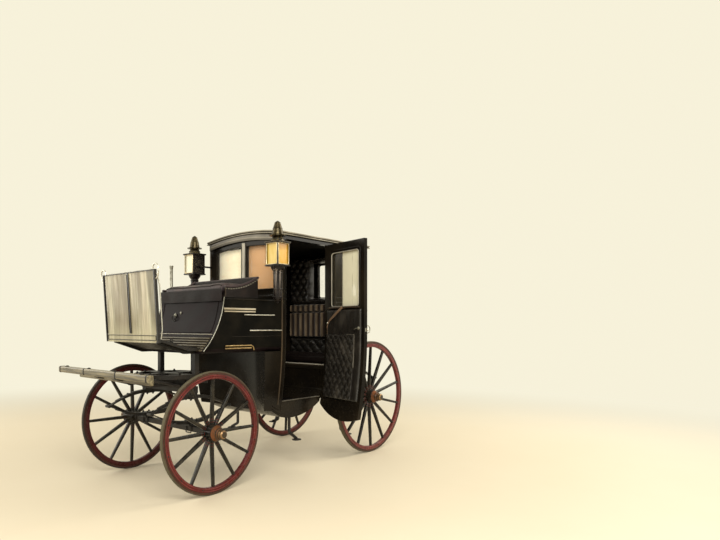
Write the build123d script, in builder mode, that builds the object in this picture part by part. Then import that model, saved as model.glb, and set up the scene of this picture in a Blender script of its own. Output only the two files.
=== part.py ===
"""Closed town coach with a driver's box, elliptic springs and a turning forecarriage.

Row frame: +Z up, ground at Z = 0, the coach faces -Y and its left side is +X.
The pieces are drawn about the point on the ground under the kingpin, and are written out
about the middle of the standing coach's footprint, its left door open. Millimetres.
"""
import math
import os

from build123d import *

os.makedirs("parts", exist_ok=True)

# Wheels and undercarriage
WHEELBASE = 2180.0
FRONT_WHEEL_R = 500.0
REAR_WHEEL_R = 600.0
TYRE_T = 22.0
TYRE_W = 34.0
FELLOE_T = 42.0
FELLOE_W = 38.0
HUB_R = 68.0
HUB_IN = 92.0
HUB_OUT = 96.0
CAP_R = 38.0
CAP_L = 46.0
SPOKE_DISH = 3.0
SPOKE_ROOT = (40.0, 30.0)
SPOKE_TIP = (30.0, 24.0)
SPOKE_EDGE = 10.0
SPOKE_TENON = 20.0
AXLE_BED = 46.0
AXLE_ARM_R = 19.0
RUN_FIT = 0.08
HUB_FLOAT = 6.0

# Elliptic springs
SPRING_LEN = 800.0
SPRING_CAMBER = 100.0
LEAF_T = 7.0
LEAF_W = 44.0
LEAF_COUNT = 4
LEAF_STEP = 0.2
SPRING_BLOCK = 10.0
SPRING_EYE = 13.0
SPRING_PAD = 86.0
PAD_OVER = 6.0
SPRING_H = 2 * (SPRING_BLOCK + LEAF_COUNT * LEAF_T + SPRING_CAMBER)

# The body hangs from the rear axle: its widths set the tracks, and its heights count
# from the tops of the rear springs, its stations from the rear axle
BODY_HALF = 530.0
WHEEL_OUT = 110.0
TRACK_STEP = 40.0
REAR_TRACK = 2 * (BODY_HALF + WHEEL_OUT)
FRONT_TRACK = REAR_TRACK - TRACK_STEP
FRONT_SPRING_IN = 290.0
REAR_SPRING_IN = 240.0
FRONT_SPRING_X = FRONT_TRACK / 2 - FRONT_SPRING_IN
REAR_SPRING_X = REAR_TRACK / 2 - REAR_SPRING_IN
SPRING_TOP = REAR_WHEEL_R + AXLE_BED / 2 + SPRING_H

# Turntable
RING_R = 300.0
RING_W = 44.0
RING_T = 18.0
RING_GAP = 0.5
TRANSOM_H = 56.0
TRANSOM_W = 80.0
FUTCHELL_X = 150.0
FUTCHELL_W = 44.0
FUTCHELL_H = 60.0
KINGPIN_R = 17.0
SPLINTER_Y = -620.0
SPLINTER_PAST = 90.0
SPLINTER_HALF = FRONT_TRACK / 2 + SPLINTER_PAST
SPLINTER_RISE = 155.0
SPLINTER_R = 27.0
SPLINTER_T = 52.0

# Cabin
CABIN_LEN = 1350.0
CABIN_BEHIND = 70.0
CABIN_BACK = WHEELBASE + CABIN_BEHIND
CABIN_FRONT = CABIN_BACK - CABIN_LEN
TURN_UNDER = 90.0
BELT_Z = SPRING_TOP + 401.0
UNDER_Z = SPRING_TOP - 439.0
WALL_TOP = SPRING_TOP + 1291.0
WALL = 36.0
WHEELHOUSE_R = FRONT_WHEEL_R + 360.0
WHEELHOUSE_TOP = SPRING_TOP + 231.0
LOWER_FRONT = CABIN_FRONT - 300.0
BOTTOM_FRONT = (CABIN_FRONT - 70.0, UNDER_Z + 105.0)
BOTTOM_LOW = (CABIN_FRONT + 300.0, UNDER_Z)
BOTTOM_REAR = (CABIN_FRONT + 730.0, UNDER_Z + 173.0)
UNDERSEAT_LOW = (CABIN_FRONT + 870.0, SPRING_TOP - 69.0)
UNDERSEAT_MID = (CABIN_BACK - 290.0, SPRING_TOP + 3.0)
BACK_FOOT = (CABIN_BACK - 45.0, SPRING_TOP + 26.0)
BACK_BELLY = (CABIN_BACK + 12.0, SPRING_TOP + 651.0)
FLOOR_TOP = UNDER_Z + 125.0
SILL_TOP = UNDER_Z + 175.0
SILL_IN = 60.0

# Doors
DOOR_W = 620.0
DOOR_FRONT = CABIN_FRONT + 55.0
DOOR_BACK = DOOR_FRONT + DOOR_W
DOOR_T = 38.0
DOOR_GAP = 6.0
DOOR_OPEN = 76.0
HINGE_OUT = 10.0
DOOR_WIN_LOW = BELT_Z + 260.0
DOOR_WIN_TOP = WALL_TOP - 105.0
HINGE_STILE = 120.0
LOCK_STILE = 84.0
HANDLE_Z = BELT_Z + 30.0
HANDLE_IN = 54.0
HANDLE_BOSS_R = 16.0
HANDLE_STAND = 34.0
HANDLE_LEN = 110.0
HANDLE_W = 22.0
HANDLE_T = 14.0
LINING_T = 26.0
LINING_IN = 40.0
GLASS_T = 6.0

# Roof
RAIL_H = 40.0
ROOF_OVER = 22.0
ROOF_EDGE = 26.0
ROOF_CROWN = 50.0
ROOF_SHELL = 4.0
RAIL_W = 50.0

# Windows
FRONT_WIN_LOW = BELT_Z + 360.0
FRONT_WIN_TOP = WALL_TOP - 26.0
FRONT_WIN_FALL = 30.0
LIGHT_CORNER = 14.0
FRONT_WIN_IN = 34.0
FRONT_WIN_OUT = BODY_HALF - 105.0
BACK_WIN_HALF = 150.0
BACK_WIN_LOW = BELT_Z + 400.0
BACK_WIN_TOP = WALL_TOP - 100.0
BACK_CORNER = 30.0
BLIND_T = 3.0
BLIND_LAP = 10.0
ROLLER_D = 18.0

# Driver's box
BOX_FRONT = 240.0
BOX_TOP = BELT_Z + 315.0
BOX_BEND = (190.0, BOX_TOP - 215.0)
BOX_TOE = (30.0, WHEELHOUSE_TOP + 20.0)
BOX_HALF = BODY_HALF - 50.0
BOX_CORNER = 60.0
BOX_TOE_HALF = BODY_HALF - 75.0
SEAT_DEEP = 400.0
SEAT_BACK = BOX_FRONT + SEAT_DEEP
SEAT_T = 30.0
SEAT_SIDE_T = 18.0
SEAT_SIDE_IN = 5.0
SEAT_ARM_FRONT = 90.0
SEAT_ARM_MID = (250.0, 120.0)
SEAT_ARM_BACK = 190.0
SEAT_CUSHION_H = 110.0
FOOT_Z = WHEELHOUSE_TOP + 50.0
DASH_Y = -360.0
DASH_HALF = BODY_HALF - 135.0
DASH_LOW = FOOT_Z + 82.0
DASH_H = 545.0
DASH_T = 10.0
DASH_LEAN = 4.0
DASH_ROD = 8.0
DASH_STILE = 16.0
DASH_BAND = 62.0
DASH_RIB = 4.0
BOARD_T = 24.0

# Lamps: a glazed box on a candle tube, with a turned chimney over it
LAMP_OUT = 86.0
LAMP_X = BODY_HALF + LAMP_OUT
LAMP_Y = CABIN_FRONT - 148.0
LAMP_W = 152.0
LAMP_Z = BELT_Z + 620.0
LAMP_H = 196.0
LAMP_POST = 10.0
LAMP_PLATE = 5.0
LAMP_RIM = 14.0
LAMP_RIM_OUT = 5.0
LAMP_GLASS_IN = 11.0
LAMP_TUBE_R = 40.0
LAMP_TUBE_END = BELT_Z + 300.0
CHIMNEY = ((0.0, 64.0), (48.0, 46.0), (54.0, 76.0), (62.0, 76.0), (64.0, 54.0), (120.0, 44.0), (176.0, 26.0), (190.0, 8.0))
BOWL = ((0.0, 66.0), (-22.0, 58.0), (-46.0, LAMP_TUBE_R))
BRACKET_T = 16.0
BRACKET_W = 24.0
BRACKET_RISE = 60.0

# Seat inside
SEAT_FRONT = DOOR_BACK + 75.0
SEAT_BOARD_Z = SPRING_TOP + 66.0
CUSHION_H = 115.0
SQUAB_T = 110.0
SQUAB_LEAN = 50.0
SQUAB_TOP = WALL_TOP - 20.0
SQUAB_CORNER = 50.0
CUSHION_IN = 12.0
CUSHION_CORNER = 40.0
CUSHION_EDGE = 25.0
SOFT_GAP = 0.4
SEAT_LAP = 20.0


def across(y):
    """Sketch plane across the coach: local x is X, local y is Z, extrudes forward."""
    return Plane.XZ.offset(-y)


def along(x):
    """Sketch plane along the coach: local x is Y, local y is Z, extrudes to the left."""
    return Plane.YZ.offset(x)


TURN_R = ((BELT_Z - UNDER_Z) ** 2 + TURN_UNDER ** 2) / (2 * TURN_UNDER)


def side_x(z, inset=0.0):
    """Half-width of the body at height z: upright above the belt, an arc below it."""
    if z >= BELT_Z:
        return BODY_HALF - inset
    return BODY_HALF - TURN_R + math.sqrt((TURN_R - inset) ** 2 - (BELT_Z - z) ** 2)


Z_FOOT = UNDER_Z - 80.0


def side_slab(side, inset, thick, y_front, y_back, z_top=WALL_TOP):
    """One side wall as a bent sheet between two stations along the coach."""
    z_mid = (BELT_Z + Z_FOOT) / 2
    with BuildPart() as slab:
        with BuildSketch(across(y_back)):
            with BuildLine():
                top_out = (side * side_x(z_top, inset), z_top)
                belt_out = (side * side_x(BELT_Z, inset), BELT_Z)
                mid_out = (side * side_x(z_mid, inset), z_mid)
                foot_out = (side * side_x(Z_FOOT, inset), Z_FOOT)
                deep = inset + thick
                top_in = (side * side_x(z_top, deep), z_top)
                belt_in = (side * side_x(BELT_Z, deep), BELT_Z)
                mid_in = (side * side_x(z_mid, deep), z_mid)
                foot_in = (side * side_x(Z_FOOT, deep), Z_FOOT)
                Line(top_out, belt_out)
                ThreePointArc(belt_out, mid_out, foot_out)
                Line(foot_out, foot_in)
                ThreePointArc(foot_in, mid_in, belt_in)
                Line(belt_in, top_in)
                Line(top_in, top_out)
            make_face()
        extrude(amount=y_back - y_front)
    return slab.part


def core(inset, y_front, y_back, z_low=Z_FOOT, z_top=WALL_TOP):
    """Everything between the two side walls, the walls being `inset` thick."""
    z_mid = (BELT_Z + z_low) / 2
    with BuildPart() as block:
        with BuildSketch(across(y_back)):
            with BuildLine():
                corners = [(side_x(z_top, inset), z_top), (side_x(BELT_Z, inset), BELT_Z)]
                mid = (side_x(z_mid, inset), z_mid)
                foot = (side_x(z_low, inset), z_low)
                Line(corners[0], corners[1])
                ThreePointArc(corners[1], mid, foot)
                Line(foot, (0, z_low))
                Line((0, z_low), (0, z_top))
                Line((0, z_top), corners[0])
            make_face()
            mirror(about=Plane.YZ)
        extrude(amount=y_back - y_front)
    return block.part


def outline(inset, rise=0.0):
    """The body's side view, carried across its whole width; `rise` opens it above the walls."""
    half = BODY_HALF + 50
    z_top = WALL_TOP + rise
    with BuildPart() as block:
        with BuildSketch(along(-half)):
            with BuildLine():
                Line((CABIN_FRONT, z_top), (CABIN_FRONT, WHEELHOUSE_TOP))
                Line((CABIN_FRONT, WHEELHOUSE_TOP), (LOWER_FRONT, WHEELHOUSE_TOP))
                Line((LOWER_FRONT, WHEELHOUSE_TOP), (LOWER_FRONT, BOTTOM_FRONT[1] + 30))
                Line((LOWER_FRONT, BOTTOM_FRONT[1] + 30), BOTTOM_FRONT)
                ThreePointArc(BOTTOM_FRONT, BOTTOM_LOW, BOTTOM_REAR)
                Line(BOTTOM_REAR, UNDERSEAT_LOW)
                ThreePointArc(UNDERSEAT_LOW, UNDERSEAT_MID, BACK_FOOT)
                ThreePointArc(BACK_FOOT, BACK_BELLY, (CABIN_BACK, WALL_TOP))
                if rise:
                    Line((CABIN_BACK, WALL_TOP), (CABIN_BACK, z_top))
                Line((CABIN_BACK, z_top), (CABIN_FRONT, z_top))
            make_face()
            if inset:
                offset(amount=-inset, kind=Kind.INTERSECTION)
        extrude(amount=2 * half)
        with Locations((0, 0, (WHEELHOUSE_TOP + inset) / 2)):
            Cylinder(WHEELHOUSE_R + inset, WHEELHOUSE_TOP - inset, mode=Mode.SUBTRACT)
    return block.part


def slice_box(y_front, y_back, z_low, z_high, x_low=-700.0, x_high=700.0):
    """A block that keeps one stretch of the body."""
    centre = Pos((x_low + x_high) / 2, (y_front + y_back) / 2, (z_low + z_high) / 2)
    return centre * Box(x_high - x_low, y_back - y_front, z_high - z_low, mode=Mode.PRIVATE)


FAR = 3000.0
DOOR_REACH = HINGE_OUT + (DOOR_BACK - DOOR_FRONT) * math.sin(math.radians(DOOR_OPEN))
ORIGIN_X = (BODY_HALF + DOOR_REACH - REAR_TRACK / 2 - HUB_OUT - CAP_L) / 2
ORIGIN_Y = (SPLINTER_Y - SPLINTER_T + WHEELBASE + REAR_WHEEL_R) / 2
BODY_OUT = outline(0.0)
BODY_IN = outline(WALL, 2 * WALL)
CORE = core(WALL, 0.0, FAR)


def keep(builder, label):
    """Label a finished piece and write it out about the row's origin."""
    piece = builder.part.moved(Location((-ORIGIN_X, -ORIGIN_Y, 0)))
    piece.label = label
    export_step(piece, f"parts/{label}.step")


# Floor tub: the rockers, the footwell's floor and the sills behind the doors
tub_block = slice_box(0.0, SEAT_FRONT - SEAT_LAP, 0.0, FLOOR_TOP)
sill_block = slice_box(DOOR_FRONT, DOOR_BACK, 0.0, SILL_TOP)
sills = [side_slab(side, DOOR_T + DOOR_GAP, SILL_IN, 0.0, FAR) & BODY_OUT & sill_block for side in (1, -1)]
rebates = [side_slab(side, 0.0, DOOR_T + DOOR_GAP, DOOR_FRONT, DOOR_BACK) for side in (1, -1)]
with BuildPart() as floor_tub:
    add(CORE)
    add(BODY_OUT, mode=Mode.INTERSECT)
    add(tub_block, mode=Mode.INTERSECT)
    add(sills)
    add(rebates, mode=Mode.SUBTRACT)
keep(floor_tub, "floor_tub")

# Front wall: the wheelhouse wall below and the two-light window wall above
WIN_W = FRONT_WIN_OUT - FRONT_WIN_IN
WIN_X = (FRONT_WIN_OUT + FRONT_WIN_IN) / 2
LIGHT_R = (FRONT_WIN_OUT ** 2 + FRONT_WIN_FALL ** 2) / (2 * FRONT_WIN_FALL)


def light_head(x):
    """Height of the front lights' heads at x, which follow the roof's camber."""
    return FRONT_WIN_TOP - LIGHT_R + math.sqrt(LIGHT_R ** 2 - x ** 2)


def front_light(side):
    """One front light: square at the foot, cambered at the head."""
    inner, middle, outer = (side * x for x in (FRONT_WIN_IN, WIN_X, FRONT_WIN_OUT))
    with BuildSketch() as light:
        with BuildLine():
            Line((inner, FRONT_WIN_LOW), (outer, FRONT_WIN_LOW))
            Line((outer, FRONT_WIN_LOW), (outer, light_head(outer)))
            ThreePointArc((outer, light_head(outer)), (middle, light_head(middle)), (inner, light_head(inner)))
            Line((inner, light_head(inner)), (inner, FRONT_WIN_LOW))
        make_face()
        fillet(light.vertices(), LIGHT_CORNER)
    return light.sketch


front_block = slice_box(0.0, DOOR_FRONT, FLOOR_TOP, FAR)
with BuildPart() as front_panel:
    add(CORE)
    add(BODY_OUT, mode=Mode.INTERSECT)
    add(BODY_IN, mode=Mode.SUBTRACT)
    add(front_block, mode=Mode.INTERSECT)
    with BuildSketch(across(CABIN_FRONT + 1.5 * WALL)):
        add(front_light(1))
        add(front_light(-1))
    extrude(amount=2 * WALL, mode=Mode.SUBTRACT)
keep(front_panel, "front_panel")

# Side walls ahead of and behind the doors
HINGE_X = BODY_HALF + HINGE_OUT
KNUCKLE_R = 8.0
KNUCKLE_H = 34.0
KNUCKLE_GAP = 0.3
HINGE_PIN_R = 4.0
HINGE_LEAF = 26.0
HINGE_ZS = (SILL_TOP + 185.0, BELT_Z + 60.0, WALL_TOP - 170.0)


def knuckles(side, low, reach, bore):
    """Hinge knuckles on one side: barrels from `low` above each hinge height, with their leaves."""
    with BuildPart() as set_of_knuckles:
        for z in HINGE_ZS:
            root = side_x(z + low, 8.0)
            with BuildSketch(Plane.XY.offset(z + low)):
                with Locations((side * HINGE_X, DOOR_BACK)):
                    Circle(KNUCKLE_R)
                with Locations((side * (HINGE_X + root) / 2, DOOR_BACK + reach / 2)):
                    Rectangle(HINGE_X - root, abs(reach))
                if bore:
                    with Locations((side * HINGE_X, DOOR_BACK)):
                        Circle(HINGE_PIN_R + RUN_FIT, mode=Mode.SUBTRACT)
            extrude(amount=KNUCKLE_H)
            if not bore:
                with BuildSketch(Plane.XY.offset(z + low)):
                    with Locations((side * HINGE_X, DOOR_BACK)):
                        Circle(HINGE_PIN_R)
                extrude(amount=2 * KNUCKLE_H + KNUCKLE_R / 2)
    return set_of_knuckles.part


for side, name in ((1, "left"), (-1, "right")):
    body_knuckles = knuckles(side, 0.0, HINGE_LEAF, False)
    front_slab = side_slab(side, 0.0, WALL, 0.0, DOOR_FRONT)
    rear_slab = side_slab(side, 0.0, WALL, DOOR_BACK, FAR)
    with BuildPart() as front_quarter:
        add(front_slab)
        add(BODY_OUT, mode=Mode.INTERSECT)
    keep(front_quarter, f"{name}_front_quarter")
    with BuildPart() as rear_quarter:
        add(rear_slab)
        add(BODY_OUT, mode=Mode.INTERSECT)
        add(body_knuckles)
    keep(rear_quarter, f"{name}_rear_quarter")

# Back wall with the under-seat sweep and the back window
back_block = slice_box(SEAT_FRONT - SEAT_LAP, FAR, 0.0, FAR)
with BuildPart() as back_panel:
    add(CORE)
    add(BODY_OUT, mode=Mode.INTERSECT)
    add(BODY_IN, mode=Mode.SUBTRACT)
    add(back_block, mode=Mode.INTERSECT)
    with BuildSketch(across(CABIN_BACK + 2 * WALL)):
        with Locations((0, (BACK_WIN_LOW + BACK_WIN_TOP) / 2)):
            RectangleRounded(2 * BACK_WIN_HALF, BACK_WIN_TOP - BACK_WIN_LOW, BACK_CORNER)
    extrude(amount=4 * WALL, mode=Mode.SUBTRACT)
keep(back_panel, "back_panel")

# Cant rail round the top of the walls
CABIN_MID = (CABIN_FRONT + CABIN_BACK) / 2
with BuildPart() as cant_rail:
    with BuildSketch(Plane.XY.offset(WALL_TOP)):
        with Locations((0, CABIN_MID)):
            Rectangle(2 * BODY_HALF, CABIN_LEN)
            Rectangle(2 * (BODY_HALF - RAIL_W), CABIN_LEN - 2 * RAIL_W, mode=Mode.SUBTRACT)
    extrude(amount=RAIL_H)
keep(cant_rail, "cant_rail")

# Roof: a cambered deck with a moulded edge
ROOF_LOW = WALL_TOP + RAIL_H
ROOF_HALF = BODY_HALF + ROOF_OVER
with BuildPart() as roof:
    with BuildSketch(across(CABIN_BACK + ROOF_OVER)):
        with BuildLine():
            Line((-ROOF_HALF, ROOF_LOW), (ROOF_HALF, ROOF_LOW))
            Line((ROOF_HALF, ROOF_LOW), (ROOF_HALF, ROOF_LOW + ROOF_EDGE))
            ThreePointArc(
                (ROOF_HALF, ROOF_LOW + ROOF_EDGE),
                (0, ROOF_LOW + ROOF_EDGE + ROOF_CROWN),
                (-ROOF_HALF, ROOF_LOW + ROOF_EDGE),
            )
            Line((-ROOF_HALF, ROOF_LOW + ROOF_EDGE), (-ROOF_HALF, ROOF_LOW))
        make_face()
    extrude(amount=CABIN_LEN + 2 * ROOF_OVER)
    with BuildSketch(across(CABIN_BACK - WALL)):
        with BuildLine():
            inner = BODY_HALF - RAIL_W
            spring = ROOF_LOW + ROOF_SHELL
            Line((-inner, ROOF_LOW - ROOF_SHELL), (inner, ROOF_LOW - ROOF_SHELL))
            Line((inner, ROOF_LOW - ROOF_SHELL), (inner, spring))
            ThreePointArc((inner, spring), (0, ROOF_LOW + ROOF_CROWN - ROOF_SHELL), (-inner, spring))
            Line((-inner, spring), (-inner, ROOF_LOW - ROOF_SHELL))
        make_face()
    extrude(amount=CABIN_LEN - 2 * WALL, mode=Mode.SUBTRACT)
keep(roof, "roof")

# Window glass: two front lights and the back light
with BuildPart() as window_glass:
    with BuildSketch(across(CABIN_FRONT + WALL / 2 + GLASS_T / 2)):
        add(front_light(1))
        add(front_light(-1))
    extrude(amount=GLASS_T)
    with BuildSketch(across(CABIN_BACK - WALL / 2)):
        with Locations((0, (BACK_WIN_LOW + BACK_WIN_TOP) / 2)):
            RectangleRounded(2 * BACK_WIN_HALF, BACK_WIN_TOP - BACK_WIN_LOW, BACK_CORNER)
    extrude(amount=GLASS_T)
keep(window_glass, "window_glass")

# Drawn blind behind the left front light
BLIND_LOW = FRONT_WIN_LOW - BLIND_LAP
BLIND_TOP = WALL_TOP - ROLLER_D / 2 - BLIND_T
BLIND_Y = CABIN_FRONT + WALL + ROLLER_D / 2
with BuildPart() as front_blind:
    with BuildSketch(across(BLIND_Y + BLIND_T / 2)):
        with Locations((WIN_X, (BLIND_LOW + BLIND_TOP) / 2)):
            Rectangle(WIN_W + 2 * BLIND_LAP, BLIND_TOP - BLIND_LOW)
    extrude(amount=BLIND_T)
    with BuildSketch(along(WIN_X - WIN_W / 2 - BLIND_LAP)):
        with Locations((BLIND_Y, BLIND_TOP)):
            Circle(ROLLER_D / 2)
    extrude(amount=WIN_W + 2 * BLIND_LAP)
keep(front_blind, "front_blind")

# Inside seat: riser and board, cushion, upright squab
SEAT_HALF_LOW = side_x(SEAT_BOARD_Z, WALL)
seat_block = slice_box(SEAT_FRONT, FAR, 0.0, SEAT_BOARD_Z)
with BuildPart() as rear_seat_base:
    add(CORE)
    add(BODY_IN, mode=Mode.INTERSECT)
    add(seat_block, mode=Mode.INTERSECT)
keep(rear_seat_base, "rear_seat_base")

CUSHION_HALF = SEAT_HALF_LOW - CUSHION_IN
SQUAB_FACE = CABIN_BACK - WALL - SQUAB_T - SQUAB_LEAN
with BuildPart() as rear_cushion:
    with BuildSketch(Plane.XY.offset(SEAT_BOARD_Z + SOFT_GAP)):
        with Locations((0, (SEAT_FRONT + SQUAB_FACE) / 2)):
            RectangleRounded(2 * CUSHION_HALF, SQUAB_FACE - SEAT_FRONT - 2, CUSHION_CORNER)
    extrude(amount=CUSHION_H)
    fillet(rear_cushion.faces().sort_by(Axis.Z)[-1].edges(), CUSHION_EDGE)
keep(rear_cushion, "rear_cushion")

squab_room = core(WALL + 8, 0.0, FAR)
with BuildPart() as rear_squab:
    with BuildSketch(across(SQUAB_FACE + SQUAB_T)):
        with Locations((0, (SEAT_BOARD_Z + SQUAB_TOP) / 2)):
            RectangleRounded(2 * (BODY_HALF - WALL - 15), SQUAB_TOP - SEAT_BOARD_Z, SQUAB_CORNER)
        with Locations((0, (BACK_WIN_LOW + BACK_WIN_TOP) / 2)):
            Rectangle(2 * BACK_WIN_HALF + 20, BACK_WIN_TOP - BACK_WIN_LOW + 20, mode=Mode.SUBTRACT)
    extrude(amount=SQUAB_T)
    add(squab_room, mode=Mode.INTERSECT)
keep(rear_squab, "rear_squab")

# Driver's box: a tapering boot whose front sweeps forward to a toe over the turntable
with BuildPart() as boot:
    for y, half in ((0.0, BOX_TOE_HALF), (CABIN_FRONT, BODY_HALF)):
        with BuildSketch(across(y)):
            with Locations((0, (BOX_TOP + WHEELHOUSE_TOP + BOX_CORNER) / 2)):
                Rectangle(2 * half, BOX_TOP - WHEELHOUSE_TOP - BOX_CORNER)
            with BuildLine():
                low = WHEELHOUSE_TOP
                bend = BOX_CORNER * (1 - math.cos(math.radians(45)))
                Line((half, low + BOX_CORNER), (-half, low + BOX_CORNER))
                ThreePointArc((-half, low + BOX_CORNER), (bend - half, low + bend), (BOX_CORNER - half, low))
                Line((BOX_CORNER - half, low), (half - BOX_CORNER, low))
                ThreePointArc((half - BOX_CORNER, low), (half - bend, low + bend), (half, low + BOX_CORNER))
            make_face()
    loft(ruled=True)
    with BuildSketch(along(-BODY_HALF)):
        with BuildLine():
            Line((CABIN_FRONT, BOX_TOP), (BOX_FRONT, BOX_TOP))
            ThreePointArc((BOX_FRONT, BOX_TOP), BOX_BEND, BOX_TOE)
            Line(BOX_TOE, (BOX_TOE[0], WHEELHOUSE_TOP))
            Line((BOX_TOE[0], WHEELHOUSE_TOP), (CABIN_FRONT, WHEELHOUSE_TOP))
            Line((CABIN_FRONT, WHEELHOUSE_TOP), (CABIN_FRONT, BOX_TOP))
        make_face()
    extrude(amount=2 * BODY_HALF, mode=Mode.INTERSECT)
keep(boot, "boot")

# Driver's seat: a tray with low sides and a back rail, and its cushion
with BuildPart() as driver_seat:
    with BuildSketch(Plane.XY.offset(BOX_TOP)):
        with Locations((0, (BOX_FRONT + SEAT_BACK) / 2)):
            Rectangle(2 * (BOX_HALF - SEAT_SIDE_IN), SEAT_BACK - BOX_FRONT)
    extrude(amount=SEAT_T)
    for x in (SEAT_SIDE_IN - BOX_HALF, BOX_HALF - SEAT_SIDE_IN - SEAT_SIDE_T):
        with BuildSketch(along(x)):
            with BuildLine():
                arm_front = (BOX_FRONT + 10, BOX_TOP + SEAT_ARM_FRONT)
                arm_mid = (BOX_FRONT + SEAT_ARM_MID[0], BOX_TOP + SEAT_ARM_MID[1])
                arm_back = (SEAT_BACK, BOX_TOP + SEAT_ARM_BACK)
                Line((BOX_FRONT + 10, BOX_TOP), (SEAT_BACK, BOX_TOP))
                Line((SEAT_BACK, BOX_TOP), arm_back)
                ThreePointArc(arm_back, arm_mid, arm_front)
                Line(arm_front, (BOX_FRONT + 10, BOX_TOP))
            make_face()
        extrude(amount=SEAT_SIDE_T)
    with BuildSketch(across(SEAT_BACK)):
        with Locations((0, BOX_TOP + SEAT_ARM_BACK / 2)):
            Rectangle(2 * (BOX_HALF - SEAT_SIDE_IN), SEAT_ARM_BACK)
    extrude(amount=SEAT_SIDE_T)
keep(driver_seat, "driver_seat")

with BuildPart() as driver_cushion:
    with BuildSketch(Plane.XY.offset(BOX_TOP + SEAT_T + SOFT_GAP)):
        with Locations((0, (BOX_FRONT + SEAT_BACK - SEAT_SIDE_T) / 2 - 8)):
            RectangleRounded(2 * (BOX_HALF - 25), SEAT_DEEP - SEAT_SIDE_T + 10, 30)
    extrude(amount=SEAT_CUSHION_H)
    fillet(driver_cushion.faces().sort_by(Axis.Z)[-1].edges(), 22)
keep(driver_cushion, "driver_cushion")

# Footboard: a level heel board and a rising toe board on two irons
DASH_TAN = math.tan(math.radians(DASH_LEAN))
TOE_LIFT = 4.0
FOOT_REAR = BOX_FRONT
FOOT_BREAK = -60.0
FOOT_IRON = 26.0
FOOT_IRON_W = 28.0
FOOT_IRON_X = DASH_HALF - 75.0
IRON_END = DASH_Y + 14.0
with BuildPart() as footboard:
    with BuildSketch(along(-DASH_HALF)):
        with BuildLine():
            Polyline(
                (FOOT_REAR, FOOT_Z),
                (FOOT_BREAK, FOOT_Z),
                (DASH_Y - DASH_TAN * BOARD_T, DASH_LOW),
                (DASH_Y, DASH_LOW - BOARD_T + TOE_LIFT),
                (FOOT_BREAK - 10, FOOT_Z - BOARD_T),
                (FOOT_REAR, FOOT_Z - BOARD_T),
                (FOOT_REAR, FOOT_Z),
            )
        make_face()
    extrude(amount=2 * DASH_HALF)
    for x in (-FOOT_IRON_X, FOOT_IRON_X):
        with BuildSketch(along(x - FOOT_IRON_W / 2)):
            with BuildLine():
                Polyline(
                    (FOOT_REAR, FOOT_Z - BOARD_T),
                    (FOOT_BREAK - 10, FOOT_Z - BOARD_T),
                    (IRON_END, DASH_LOW - BOARD_T - 2),
                    (IRON_END, DASH_LOW - BOARD_T - FOOT_IRON + 8),
                    (FOOT_BREAK - 10, FOOT_Z - BOARD_T - FOOT_IRON),
                    (FOOT_REAR, FOOT_Z - BOARD_T - FOOT_IRON),
                    (FOOT_REAR, FOOT_Z - BOARD_T),
                )
            make_face()
        extrude(amount=FOOT_IRON_W)
    add(boot.part, mode=Mode.SUBTRACT)
keep(footboard, "footboard")

# Dash: a leather-covered panel in a bright rod frame
LEAN = Plane(
    origin=(0, DASH_Y, DASH_LOW - BOARD_T),
    x_dir=(1, 0, 0),
    z_dir=(0, -math.cos(math.radians(DASH_LEAN)), -math.sin(math.radians(DASH_LEAN))),
)
DASH_FULL = DASH_H + BOARD_T
with BuildPart() as dash_panel:
    with BuildSketch(LEAN):
        with Locations((0, DASH_FULL / 2)):
            Rectangle(2 * DASH_HALF, DASH_FULL)
    extrude(amount=DASH_T)
keep(dash_panel, "dash_panel")

with BuildPart() as dash_frame:
    with BuildSketch(LEAN.offset(-DASH_ROD)):
        with Locations((0, DASH_FULL / 2)):
            Rectangle(2 * DASH_HALF + 2 * DASH_ROD, DASH_FULL + 2 * DASH_ROD)
            Rectangle(2 * DASH_HALF, DASH_FULL, mode=Mode.SUBTRACT)
    extrude(amount=DASH_T + 2 * DASH_ROD)
    with BuildSketch(LEAN.offset(DASH_T)):
        with Locations((0, DASH_FULL / 2)):
            Rectangle(DASH_STILE, DASH_FULL)
        with Locations((0, DASH_BAND / 2)):
            Rectangle(2 * DASH_HALF, DASH_BAND)
    extrude(amount=DASH_RIB)
keep(dash_frame, "dash_frame")

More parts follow.
